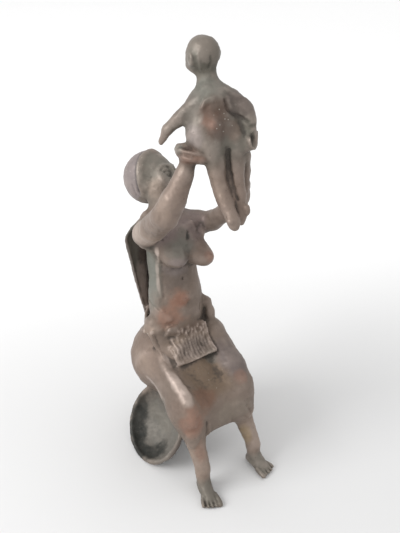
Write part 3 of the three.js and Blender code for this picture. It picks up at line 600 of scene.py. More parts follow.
# %% Lay the last lumps and rolls
wax_lump("child_sole_near", (-6.4, -70.4, 200.2), (2.7, 2.6, 2.4))
wax_lump("child_sole_far", (5.6, -68.2, 202.4), (2.2, 2.4, 3.6))
wax_roll("waist_drape_right", [
    (-21, -7.5, 99, 3.2), (-19.6, -9.4, 92, 3.4), (-18.6, -12.2, 86.6, 3.2), (-17.6, -19, 81.8, 2.4),
])
wax_roll("waist_drape_middle", [
    (-17.4, -10.6, 99, 3.4), (-16.4, -11.2, 93, 3.6), (-16.2, -14.6, 87, 3.2), (-16.6, -22, 81, 2.2),
])
wax_roll("waist_drape_left", [
    (-13.6, -12.6, 98, 3), (-13.6, -13.4, 93, 3), (-14.6, -16.6, 88, 2.6), (-15.6, -24, 80.6, 2),
])
wax_roll("thigh_fold", [
    (-21.2, -27, 76, 3.6), (-21.4, -35, 74, 4.4), (-21.6, -44, 71.4, 4.8), (-21.8, -53, 67.2, 5.0),
    (-22, -58, 61, 4.2),
])
for i, (x, y, z) in enumerate([(9.4, -9.4, 170), (9.6, -11.4, 166.4), (12.6, -12.4, 163.6)]):
    wax_roll(f"collar_curl_{i}", [
        (x - 1.6, y, z, 0.4), (x, y + 0.6, z + 1, 0.6), (x + 1.2, y - 0.4, z - 0.4, 0.6),
        (x, y - 1, z - 1.4, 0.4),
    ])
print("last rolls laid,", len(added), "pieces in all")

# %% [markdown]
# ## Melting everything into one skin
# A modeller joins added wax with a warm tool until no seam is left. A voxel remesh does the same:
# it wraps everything in one closed skin. At 0.6 mm a cell it still holds the gap between two strands,
# and a light smoothing takes the steps of the cells away.

# %% Join the rolls and lumps and wrap one skin round them
CELL = 0.6 * MILLIMETRE
bpy.ops.object.select_all(action="DESELECT")
for piece in added:
    piece.select_set(True)
figure.select_set(True)
bpy.context.view_layer.objects.active = figure
bpy.ops.object.join()
finish_with(figure, "REMESH", mode="VOXEL", voxel_size=CELL)
finish_with(figure, "SMOOTH", factor=0.5, iterations=2)
print("melted skin", len(figure.data.polygons), "faces")

# %% [markdown]
# ## Places warmed and smoothed
# Where the drape meets belly and hip, the modeller warms the wax and strokes it until the rolls can't be
# told apart. A Smooth modifier does that where a vertex group says how warm the skin is. The group is strong
# round the drape and faint along the near arm. The first strands of the apron are left out and stay crisp.

# %% Measure from lines and smooth the warm places
def read_vertices(mesh, what):
    values = np.empty(len(mesh.vertices) * 3)
    mesh.vertices.foreach_get(what, values)
    return values.reshape(-1, 3)


def read_places(mesh):
    return read_vertices(mesh, "co") * 1000 - np.array(HOME)


def write_places(mesh, places):
    mesh.vertices.foreach_set("co", ((places + np.array(HOME)) / 1000).ravel())
    mesh.update()


def away_from(places, line):
    """The distance of each place from a line of points."""
    nearest = np.full(len(places), 1e9)
    for start, end in zip(line, line[1:]):
        start, end = np.array(start, float), np.array(end, float)
        along = end - start
        share = np.clip((places - start) @ along / (along @ along), 0, 1)
        nearest = np.minimum(nearest, np.linalg.norm(places - start - share[:, None] * along, axis=1))
    return nearest


MELTED = [
    # middle, reach
    ((-20.4, -10.6, 100), 5),
    ((-15, -13.4, 100.4), 4.5),
    ((-18.4, -12, 94), 5.5),
    ((-16.6, -14.6, 88), 4.5),
    ((-17.4, -20, 84), 3.8),
    ((-16.6, -26, 82), 3),
]
places = read_places(figure.data)
warmth = np.zeros(len(places))
for middle, reach in MELTED:
    apart = np.linalg.norm(places - np.array(middle), axis=1)
    warmth = np.maximum(warmth, np.clip(1.6 * np.exp(-((apart / reach) ** 2)), 0, 1))
for strand in threads[:2]:
    warmth *= 1 - np.exp(-((away_from(places, strand) / 2.2) ** 2))
NEAR_ARM = [(-23, 8, 163), (-31, -4, 169), (-33, -28, 186), (-31, -44, 206), (-24, -46, 221)]
ARM_RADIUS = 12
ARM_WARMTH = 0.1
warmth = np.maximum(warmth, np.where(away_from(places, NEAR_ARM) < ARM_RADIUS, ARM_WARMTH, 0))
melting = figure.vertex_groups.new(name="melting")
for step in range(1, 11):
    chosen = np.flatnonzero(np.round(warmth * 10) == step)
    melting.add(chosen.tolist(), step / 10, "REPLACE")
finish_with(figure, "SMOOTH", factor=0.5, iterations=90, vertex_group="melting")
print(int((warmth > 0.05).sum()), "vertices warmed")

# %% [markdown]
# ## Lines pressed with a tool
# Fine creases are pressed into warm wax with a blunt point: between the child's back and its arm, in the
# folds at the waist, between the toes and along the hem. Each vertex near such a line is moved along its own
# normal, most at the line and less away from it. A negative depth raises a ridge instead.

# %% Press creases and raise folds
def skin_line(*spots):
    """The nearest places on the smoothed skin."""
    return [tuple(figure.closest_point_on_mesh(at(*spot))[1] * 1000 - HOME) for spot in spots]


def face_line(side, *spots):
    return [on_head(side * x, y, z) for x, y, z in spots]


PRESSED = [
    # line, depth and width: the child first, then hands, trunk and cap, and last waist, thighs and hem
    ([(0.8, -53.4, 261.2), (1.8, -54.9, 256.1), (4.5, -55.7, 253.6), (8, -57.2, 251.7),
      (10.7, -61.6, 249.7)], 1.1, 0.9),
    ([(2.6, -52.4, 262), (3.6, -53.9, 257.4), (6.5, -55, 255.4), (10, -57, 253.4)], -0.5, 1.2),
    ([(-10.8, -49.3, 258), (-9.1, -49.5, 261.5), (-6.9, -50.8, 263), (-4.6, -52, 263.4)], -0.7, 1.0),
    ([(-9.6, -50.2, 256.5), (-7.4, -51.8, 260.2), (-5.4, -53.2, 260.8)], 0.5, 0.9),
    ([(-2.6, -55, 255.8), (-3.1, -57.3, 251.2), (-3.8, -58.2, 247.3), (-3.4, -59.5, 241)], 0.25, 1.8),
    ([(10.4, -65, 243), (11.2, -66, 240)], 2.6, 2.2),
    ([(0.2, -58.5, 235.4), (0.8, -57.9, 229.4), (0.9, -58.8, 223.9), (1, -61.7, 216.2),
      (1.6, -65.7, 208.6)], 1.1, 0.9),
    ([(-1.7, -44.2, 282.4), (-1.5, -44, 279.2), (-1.6, -42.4, 275.8)], 0.7, 0.6),
    ([(-7.1, -40.4, 283.4), (-6.7, -40.6, 279.3), (-4.8, -39.8, 274.7)], -0.4, 0.8),
    ([(2.6, -50, 266.4), (5.3, -51.7, 264.2), (9.1, -53.7, 262.5), (13.5, -54.9, 260.3)], -0.5, 0.9),
    ([(4.3, -12.8, 165.8), (3.6, -13.8, 164), (3, -14.6, 162.7)], 1.0, 1.1),
    ([(10.8, -16.6, 112.9), (10.1, -17.5, 109.8)], 1.4, 0.7),
    ([(-0.9, -14.6, 135.2), (-0.9, -14.6, 134.6)], 1.2, 0.6),
    ([(7.5, -62.5, 248.2), (11, -63.2, 248), (14.5, -62.4, 247.6)], 0.8, 0.9),
    ([(-20.4, -44, 232.4), (-18, -48.6, 232.2), (-14.6, -52.6, 232)], 0.5, 0.7),
    ([(-13.2, -53.6, 236), (-11.4, -54.8, 232), (-11.4, -54.4, 229)], 0.9, 0.9),
    ([(-7.2, -53.8, 254.5), (-7.6, -55.6, 250)], -0.3, 1.6),
    ([(-35.5, -43.8, 205), (-35.5, -44.7, 198.5), (-33, -40.2, 188.5)], 0.35, 0.9),
    ([(-14.1, 22.2, 189.5), (-13.6, 20.9, 186.5), (-12.1, 20.1, 182.2)], 0.5, 0.6),
    ([(-3.7, 27.9, 206.9), (-8.1, 25.2, 204.3), (-11.2, 22.1, 199.7), (-12.8, 19.9, 194.1)], -0.5, 0.7),
    ([(-18.2, -0.1, 116.5), (-18.6, -5.5, 116.2), (-17.7, -11, 114.6)], 0.6, 0.8),
    ([(-14.6, -8.4, 158), (-14.2, -7.4, 149), (-14.4, -7.4, 140.2), (-14.8, -8.6, 132.8),
      (-15, -10.6, 124)], -0.6, 0.9),
    ([(-13.2, -9.4, 158), (-12.8, -8.6, 149), (-13, -8.6, 140.2), (-13.4, -9.6, 132.8),
      (-13.4, -11.4, 124)], 0.4, 0.8),
    (skin_line((-21.4, -12, 95), (-20, -14.6, 88), (-18.8, -20, 84), (-16.8, -28, 82)), 0.6, 1.0),
    (skin_line((-23.6, -9, 97), (-22.4, -13, 90), (-21, -19, 84), (-20.6, -26, 81)), -0.7, 1.7),
    (skin_line((-22, -26.6, 80), (-23.4, -36.5, 77.6), (-24.4, -45.5, 74.6), (-25, -54, 71.3)), -0.5, 3.6),
    (skin_line((-22.8, -9.8, 99.4), (-22.6, -10.2, 98.2)), -1.3, 1.3),
    (skin_line((-23.6, -2.5, 97.2), (-23.6, -2.7, 96)), -1.3, 1.3),
    ([(-14.7, -60.8, 55.6), (-14.1, -60, 47.2), (-14, -59, 42)], 0.8, 0.8),
    ([(-12.6, -60.4, 54), (-12, -60, 46.6), (-12.2, -59, 41)], -0.8, 0.9),
    ([(16.5, -62.2, 55.4), (20.9, -61.3, 46.6)], 0.7, 0.8),
    ([(18.6, -61.8, 57), (23, -60, 48)], -0.6, 0.8),
    ([(13.8, -61.7, 47.9), (18.6, -61.3, 41.7)], 0.5, 0.7),
    ([(20, -17, 94), (19.6, -30, 84), (18.6, -44, 80)], -0.3, 2.0),
    *toe_gaps,
]
for side in (-1, 1):
    PRESSED += [
        (face_line(side, (2.2, -14.6, 2.2), (4.4, -15.2, 3.2), (7, -14.4, 3), (9, -12.4, 1)), 0.7, 0.6),
        (face_line(side, (3, -14.6, 0), (5.4, -15.2, -0.2), (8, -13.4, -0.4)), 0.7, 0.55),
        (face_line(side, (2.6, -14.2, -2.8), (4.6, -14.8, -3.4), (7.2, -13.9, -3)), 0.6, 0.6),
        (face_line(side, (3.6, -15, -4.6), (4.2, -14.4, -7.6)), 0.6, 0.6),
    ]
PRESSED.append((face_line(1, (-4.2, -14, -11.3), (0, -16, -11.6), (4.2, -14, -11.3)), 0.7, 0.55))
PRESSED.append(([on_head(*(Vector(spot) + CAP_BACK * CAP_GROOVE)) for spot in cap_edge], 1.3, 0.8))
places = read_places(figure.data)
normals = read_vertices(figure.data, "normal")
shift = np.zeros(len(places))
for line, depth, width in PRESSED:
    shift -= depth * np.exp(-((away_from(places, line) / width) ** 2))
write_places(figure.data, places + normals * shift[:, None])
print(len(PRESSED), "lines pressed")

# %% [markdown]
# ## Marks of the hand and of the casting
# Wax that is worked by hand is never even, and the clay round it adds small pits. Two Displace modifiers
# with cloud textures, one broad and one fine, move the skin by a few tenths of a millimetre.
# The skin is then thinned where it is plain, which keeps the piece under 200,000 triangles.
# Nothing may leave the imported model's box, so places outside it are put back on its sides, which also
# keeps the soles and the foot of the cloth flat.

# %% Roughen the skin and thin it
def clouds(name, size):
    texture = bpy.data.textures.new(name, "CLOUDS")
    texture.noise_scale = size
    texture.noise_depth = 2
    return texture


finish_with(figure, "DISPLACE", texture=clouds("hand_work", 0.007), strength=0.9 * MILLIMETRE)
finish_with(figure, "DISPLACE", texture=clouds("clay_grain", 0.0018), strength=0.35 * MILLIMETRE)
MOST_TRIANGLES = 190000
triangles = sum(len(face.vertices) - 2 for face in figure.data.polygons)
if triangles > MOST_TRIANGLES:
    finish_with(figure, "DECIMATE", ratio=MOST_TRIANGLES / triangles)
low, high = (np.array(corner) * 1000 - np.array(HOME) for corner in cad_box)
write_places(figure.data, np.clip(read_places(figure.data), low, high))
alone(figure)
bpy.ops.object.shade_smooth()
print("finished skin", sum(len(face.vertices) - 2 for face in figure.data.polygons), "triangles")

# %% [markdown]
# ## Where hands rub and dust stays
# Patina follows the form: ridges are rubbed bright and hollows stay dark. The mesh can measure this itself.
# Its places are averaged with their neighbours', a little and a lot. A vertex above the average is on a
# ridge, and one below it in a hollow. The ridges are then averaged twice, so that the wear is soft.

# %% Measure ridges and hollows
mesh = figure.data
places = read_places(mesh)
normals = read_vertices(mesh, "normal")
edges = np.empty(len(mesh.edges) * 2, dtype=np.int64)
mesh.edges.foreach_get("vertices", edges)
edges = edges.reshape(-1, 2)
ends = np.concatenate([edges, edges[:, ::-1]])
neighbours = np.maximum(np.bincount(ends[:, 0], minlength=len(places)), 1)


def averaged(values, rounds):
    for _ in range(rounds):
        sums = [np.bincount(ends[:, 0], column[ends[:, 1]], len(places)) for column in values.T]
        values = np.stack(sums, axis=1) / neighbours[:, None]
    return values


FULL_FINE_LIFT = 0.16
FULL_RIDGE = 1.4
FULL_HOLLOW = 0.8
fine_average = averaged(places, 3)
broad_average = averaged(fine_average, 30)
fine_lift = ((places - fine_average) * normals).sum(axis=1)
broad_lift = ((places - broad_average) * normals).sum(axis=1)
ridge = np.clip(fine_lift / FULL_FINE_LIFT, 0, 1) * 0.65 + np.clip(broad_lift / FULL_RIDGE, 0, 1) * 0.35
ridge = averaged(ridge[:, None], 2)[:, 0]
hollow = np.clip(-fine_lift / FULL_FINE_LIFT, 0, 1) * 0.5 + np.clip(-broad_lift / FULL_HOLLOW, 0, 1) * 0.6
print("ridges and hollows measured at", len(places), "places")

# %% [markdown]
# Rays shot from each vertex find how much of the sky is hidden from it. The skin is darkened there as painted
# shade, together with the patina of the hollows.
# They leave in a golden spiral, so that a few of them cover the half sphere evenly.

# %% Measure the shade
tree_of_faces = BVHTree.FromObject(figure, bpy.context.evaluated_depsgraph_get())
RAYS = 14
OFF_SKIN = 0.4 * MILLIMETRE
RAY_REACH = 35 * MILLIMETRE
golden = math.pi * (3 - math.sqrt(5))
fan = []
for i in range(RAYS):
    out = math.sqrt((i + 0.5) / RAYS)
    up = math.sqrt(1 - (i + 0.5) / RAYS)
    fan.append(Vector((math.cos(golden * i) * out, math.sin(golden * i) * out, up)))
shade = np.zeros(len(places))
for index, vertex in enumerate(mesh.vertices):
    turn = vertex.normal.to_track_quat("Z", "Y")
    start = vertex.co + vertex.normal * OFF_SKIN
    hits = [tree_of_faces.ray_cast(start, turn @ ray, RAY_REACH)[0] for ray in fan]
    shade[index] = sum(hit is not None for hit in hits) / RAYS
shade = averaged(shade[:, None], 2)[:, 0]
print(RAYS, "rays shot from each vertex")

# %% [markdown]
# The cap is all of the skull that lies behind the plane of its rolled edge, and the groove along that edge is
# darkened by a line of painted shade. The apron's threads are what lies near the lines that were kept. All six
# measures are stored as attributes of the mesh, where the material can read them.

# %% Mark the cap, its edge and the threads, and store all measures
on_skull_places = (places - np.array(HEAD_PLACE)) @ np.array(HEAD_TURN)
behind_edge = (on_skull_places - np.array(CAP_FRONT)) @ np.array(CAP_BACK)
HEAD_REACH = 22
CAP_FOOT = -7
near_skull = np.linalg.norm(on_skull_places - np.array(SKULL_CENTRE), axis=1) < HEAD_REACH
covered = near_skull * (on_skull_places[:, 2] > CAP_FOOT)
cap = np.clip((behind_edge - 0.6) / 0.6, 0, 1) * covered
# painted shade along the groove behind the cap's edge
cap_groove_shade = np.exp(-(((behind_edge - CAP_GROOVE) / 0.7) ** 2)) * covered

THREAD_REACH = 0.75
thread = np.zeros(len(places))
for line in threads:
    thread = np.maximum(thread, np.exp(-((away_from(places, line) / THREAD_REACH) ** 2)))

MEASURED = {
    "ridge": ridge, "hollow": np.clip(hollow, 0, 1), "shade": shade,
    "cap": cap, "cap_groove_shade": cap_groove_shade, "thread": thread,
}
for name, values in MEASURED.items():
    attribute = mesh.attributes.new(name, "FLOAT", "POINT")
    attribute.data.foreach_set("value", values.astype(np.float32))
    print(name, "mean", round(float(values.mean()), 3))

# %% [markdown]
# ## Shared effects for the patina
# Effects that any worn metal has are built once as node groups: a mottle of cloudy tones, a soft stain at a
# place, the wear on ridges and the dirt in hollows, pale specks of dust, and the pitted skin of a casting.
# The group for the dirt in hollows also puts out painted shade where the sky is hidden.
# Each group puts out masks or heights only, so one material can mix them with its own colours.

# %% Build the node groups
def reckon(operation, first, second):
    return add("ShaderNodeMath", {"operation": operation}, _0=first, _1=second).outputs[0]


def times(first, second):
    return reckon("MULTIPLY", first, second)


def plus(first, second):
    return reckon("ADD", first, second)


def minus(first, second):
    return reckon("SUBTRACT", first, second)


def between(value, low, high):
    """0 at low and 1 at high, smooth between them."""
    smooth = {"interpolation_type": "SMOOTHSTEP"}
    return add("ShaderNodeMapRange", smooth, Value=value, From_Min=low, From_Max=high).outputs["Result"]


def noise(place, scale, detail, roughness=0.5):
    node = add("ShaderNodeTexNoise", Vector=place, Scale=scale, Detail=detail, Roughness=roughness)
    return node.outputs["Fac"]


def start_group(name, vectors, floats, outputs):
    """A new group, the sockets that give its inputs, and the sockets that take its results."""
    group = bpy.data.node_groups.new(name, "ShaderNodeTree")
    sockets = (("INPUT", "Vector", vectors), ("INPUT", "Float", floats), ("OUTPUT", "Float", outputs))
    for way, kind, labels in sockets:
        for label in labels:
            group.interface.new_socket(name=label, in_out=way, socket_type=f"NodeSocket{kind}")
    return group, group.nodes.new("NodeGroupInput").outputs, group.nodes.new("NodeGroupOutput").inputs


tree, given, result = start_group("cloudy mottle", ["Place"], [], ["Broad", "Middle", "Fine"])
for label, scale, detail in (("Broad", 20.0, 2.0), ("Middle", 75.0, 3.0), ("Fine", 380.0, 3.0)):
    feed(result[label], between(noise(given["Place"], scale, detail, 0.6), 0.28, 0.72))

STAIN_EDGE = 0.85
spot = ["Place", "Centre", "Reach"]
tree, given, result = start_group("soft stain", spot, ["Drift", "Wander", "Softness"], ["Mask"])
offset = add("ShaderNodeVectorMath", {"operation": "SUBTRACT"}, _0=given["Place"], _1=given["Centre"])
scaled = add("ShaderNodeVectorMath", {"operation": "DIVIDE"}, _0=offset.outputs[0], _1=given["Reach"])
far = add("ShaderNodeVectorMath", {"operation": "LENGTH"}, _0=scaled.outputs[0]).outputs["Value"]
edge = plus(far, times(minus(given["Drift"], 0.5), given["Wander"]))
inner = minus(STAIN_EDGE, given["Softness"])
outer = plus(STAIN_EDGE, given["Softness"])
feed(result["Mask"], minus(1.0, between(edge, inner, outer)))

measures = ["Ridge", "Hollow", "Shade", "Grain"]
tree, given, result = start_group("wear, dirt and shade", [], measures, ["Rubbed", "Dirt and shade"])
broken = times(minus(given["Grain"], 0.5), 0.35)
open_ridge = minus(given["Ridge"], times(given["Shade"], 0.5))
feed(result["Rubbed"], between(plus(open_ridge, broken), 0.05, 0.8))
# The dark of the patina in hollows, and painted shade where the rays found the sky hidden.
deep = plus(times(given["Hollow"], 0.75), times(given["Shade"], 0.75))
feed(result["Dirt and shade"], between(plus(deep, broken), 0.3, 1.1))

tree, given, result = start_group("dust specks", ["Place"], [], ["Specks", "Crumbs"])
for label, scale, size, rarity in (("Specks", 520.0, 0.16, 0.60), ("Crumbs", 210.0, 0.13, 0.72)):
    cells = add("ShaderNodeTexVoronoi", Vector=given["Place"], Scale=scale)
    dot = reckon("LESS_THAN", cells.outputs["Distance"], size)
    tone = add("ShaderNodeSeparateColor", Color=cells.outputs["Color"]).outputs["Red"]
    field = noise(given["Place"], 60.0, 2.0)
    chosen = reckon("GREATER_THAN", times(tone, plus(field, 0.45)), rarity)
    feed(result[label], times(dot, chosen))

tree, given, result = start_group("cast skin", ["Place"], [], ["Height", "Pits"])
grain = noise(given["Place"], 700.0, 5.0, 0.65)
dents = noise(given["Place"], 170.0, 3.0)
holes = add("ShaderNodeTexVoronoi", Vector=given["Place"], Scale=380.0).outputs["Distance"]
pits = times(minus(1.0, between(holes, 0.06, 0.26)), between(dents, 0.5, 0.66))
feed(result["Height"], minus(plus(times(grain, 0.35), times(dents, 0.8)), times(pits, 0.6)))
feed(result["Pits"], pits)
print("node groups:", [group.name for group in bpy.data.node_groups])

# %% [markdown]
# ## The bronze
# The metal is a warm grey brown, greenish on the child, pinkish on the hips and copper red where it is rubbed
# bare. The colour starts as a faint mottle of two browns. Stains of other tones are laid at their places in
# turn, with a painted highlight and painted shade on the near forearm. Then ridges are lightened, and hollows
# are darkened by their patina and by painted shade where the sky is hidden.
# A few crisper accents follow on the rubbed ridges, with painted shade in the bowl, in the hollow of the hand
# round the child's wrist, in the crease at the neck and under the cape's shoulder, painted highlights on the
# thigh ridge, the flank's edge and the bowl's lit floor, pale dust with painted glints on two lumps at the
# waist, and a dark line along the cape's rim.
# Dust is put on last, only where the real piece catches it.
# Patina is mostly mineral with metal showing through, so the surface is more dull than bright.

# %% Mix the patina
bronze = bpy.data.materials.new("patinated_bronze")
bronze.use_nodes = True
tree = bronze.node_tree
surface = tree.nodes["Principled BSDF"]
place = add("ShaderNodeTexCoord").outputs["Object"]


def placed_group(name, **inputs):
    return add("ShaderNodeGroup", {"node_tree": bpy.data.node_groups[name]}, **inputs).outputs


def measured(name):
    return add("ShaderNodeAttribute", {"attribute_name": name}).outputs["Fac"]


def over(under, colour, mask, strength):
    """Lays a colour over what is under it, where the mask says."""
    mixed = add("ShaderNodeMix", {"data_type": "RGBA"}, Factor=times(mask, strength), A=under, B=colour)
    return mixed.outputs["Result"]


mottle = placed_group("cloudy mottle", Place=place)
wear = placed_group(
    "wear, dirt and shade", Ridge=measured("ridge"), Hollow=measured("hollow"), Shade=measured("shade"),
    Grain=mottle["Middle"],
)
dust = placed_group("dust specks", Place=place)
cast_skin = placed_group("cast skin", Place=place)

BROWN = (0.190, 0.146, 0.117, 1)
UMBER = (0.105, 0.084, 0.073, 1)
SAGE = (0.152, 0.140, 0.117, 1)
MOSS = (0.112, 0.104, 0.084, 1)
LICHEN = (0.180, 0.166, 0.140, 1)
DUN = (0.205, 0.152, 0.122, 1)
SHELL = (0.300, 0.230, 0.184, 1)
AUBURN = (0.112, 0.072, 0.054, 1)
COPPER = (0.245, 0.118, 0.078, 1)
MAUVE = (0.232, 0.198, 0.194, 1)
GREY_ROSE = (0.205, 0.160, 0.155, 1)
LILAC = (0.138, 0.112, 0.104, 1)
GREY_GREEN = (0.172, 0.176, 0.152, 1)
OLIVE = (0.158, 0.112, 0.076, 1)
RED_BROWN = (0.160, 0.088, 0.058, 1)
FAWN = (0.224, 0.184, 0.148, 1)
CLAY = (0.265, 0.148, 0.105, 1)
OCHRE = (0.290, 0.210, 0.115, 1)
BISQUE = (0.560, 0.460, 0.405, 1)
IRON_GREY = (0.185, 0.178, 0.158, 1)
BLACK = (0.024, 0.026, 0.023, 1)
# The next tone darkens the pits and hollows of the patina, and is also painted shade where the sky is hidden.
SOOT_AND_SHADE = (0.032, 0.028, 0.025, 1)
DUST = (0.52, 0.49, 0.43, 1)

colour = over(BROWN, UMBER, mottle["Broad"], 0.22)
STAINS = [
    # centre, reach, colour, strength, wander
    # the child
    ((0, -48, 250), (28, 28, 34), SAGE, 0.95, 0.3),
    ((-14, -50, 252), (5, 8, 10), LICHEN, 0.6, 0.5),
    ((0, -36, 282), (18, 18, 18), MOSS, 0.95, 0.2),
    ((-9.5, -36.5, 282), (5, 7, 8), SAGE, 0.8, 0.4),
    ((-3, -46, 262), (12, 10, 7), SAGE, 0.7, 0.4),
    ((-8.4, -54.6, 251), (8.4, 8, 11.5), AUBURN, 0.97, 0.6),
    ((-9.6, -55, 252), (4.4, 5, 6), CLAY, 0.6, 0.7),
    ((-8.6, -56, 251), (2.4, 3, 3.4), COPPER, 0.8, 0.7),
    ((-15.6, -50, 243), (5, 7, 8), MAUVE, 0.6, 0.5),
    ((10, -54, 259), (12, 10, 9), UMBER, 0.85, 0.6),
    ((9, -58, 246), (9, 9, 6), MOSS, 0.7, 0.5),
    ((3, -58, 245), (5, 5, 6), DUN, 0.7, 0.7),
    ((-2, -64, 209), (18, 18, 22), DUN, 0.85, 0.4),
    ((-8.8, -58.6, 217), (5, 6, 8), SHELL, 0.4, 0.6),
    # the arms
    ((-29, -44, 208), (14, 16, 30), DUN, 0.85, 0.3),
    ((-29, -18, 174), (13, 22, 12), SHELL, 0.85, 0.3),
    # painted highlight: a pale band along the lit outer edge of the forearm
    ((-33, -44, 204), (3.4, 8, 9), SHELL, 0.6, 0.5),
    ((-17, -48, 233), (11, 10, 6.5), AUBURN, 0.95, 0.4),
    ((-15.4, -51.6, 232.4), (4.6, 4.6, 2.6), CLAY, 0.75, 0.6),
    # painted shade: the forearm's forward side, darker brown
    ((-33, -40, 196), (6, 6, 9), BROWN, 0.5, 0.5),
    ((-21, -41, 235), (3.4, 4.6, 3), GREY_GREEN, 0.8, 0.4),
    ((24, -36, 200), (12, 28, 36), DUN, 0.7, 0.3),
    # the head
    ((2, 16, 194), (20, 16, 20), LICHEN, 0.9, 0.3),
    ((-6, 8, 191), (7, 7, 8), SHELL, 0.6, 0.5),
    # the trunk
    ((0, -8, 166), (22, 16, 13), GREY_ROSE, 0.7, 0.4),
    ((1, -13, 163), (6, 8, 9), SAGE, 0.7, 0.5),
    ((-9, -17, 158), (9, 9, 6), SAGE, 0.7, 0.4),
    ((-8, -20, 150.5), (9, 8, 4), MAUVE, 0.6, 0.4),
    ((11, -23, 153), (9, 9, 10), DUN, 0.75, 0.4),
    ((13, -28, 153), (5, 5, 5.5), COPPER, 0.65, 0.5),
    ((-18, -1, 138), (6.5, 11, 30), GREY_GREEN, 0.95, 0.3),
    ((-5, -13, 136), (11, 9, 12), UMBER, 0.55, 0.5),
    ((-4, -12, 143), (9, 8, 6), MAUVE, 0.4, 0.5),
    ((-4.5, -17, 121.5), (7.5, 7, 7.5), CLAY, 0.9, 0.6),
    ((-4, -18, 121), (4, 4, 4), COPPER, 0.7, 0.5),
    ((-11, -16, 110), (11, 10, 7), CLAY, 0.75, 0.6),
    # the skirt
    ((-28, 0, 76), (18, 30, 26), DUN, 0.9, 0.3),
    ((-31, -4, 74), (8, 14, 12), SHELL, 0.6, 0.4),
    ((-29, -26, 58), (9, 12, 9), LICHEN, 0.6, 0.4),
    ((-1, -41, 75), (19, 18, 11), OLIVE, 0.9, 0.4),
    ((-12, -54, 68), (9, 9, 9), RED_BROWN, 0.8, 0.5),
    ((8, -33, 80), (4, 5, 6), LICHEN, 0.7, 0.5),
    ((19, -42, 80), (10, 22, 12), LILAC, 0.95, 0.4),
    ((17.5, -54, 73), (5, 5, 5), CLAY, 0.5, 0.6),
    ((4, -60, 54), (16, 9, 10), FAWN, 0.85, 0.4),
    ((-2, -23, 92), (16, 12, 14), OLIVE, 0.45, 0.3),
    ((-1.6, -27, 88), (14, 8, 7.5), UMBER, 0.65, 0.2),
    ((0, -20, 100), (13, 7, 4.5), AUBURN, 0.5, 0.3),
    ((-25, -59, 58), (7.5, 8, 12), CLAY, 0.85, 0.5),
    ((-29, -50, 66), (5, 8, 8), AUBURN, 0.45, 0.5),
    # the legs
    ((-23, -62, 26), (12, 14, 22), SHELL, 0.75, 0.4),
    ((-20, -60, 33), (4, 6, 10), CLAY, 0.5, 0.6),
    ((22, -60, 26), (12, 14, 22), SHELL, 0.7, 0.4),
    ((17.6, -60, 28), (4.6, 6, 8), OCHRE, 0.8, 0.5),
    ((-21, -70, 5), (12, 18, 8), SAGE, 0.9, 0.3),
    ((25, -68, 5), (12, 18, 8), LICHEN, 0.9, 0.3),
    # the back
    ((0, 34, 130), (34, 20, 56), UMBER, 0.7, 0.4),
    ((0, 36, 50), (34, 24, 50), UMBER, 0.4, 0.4),
]
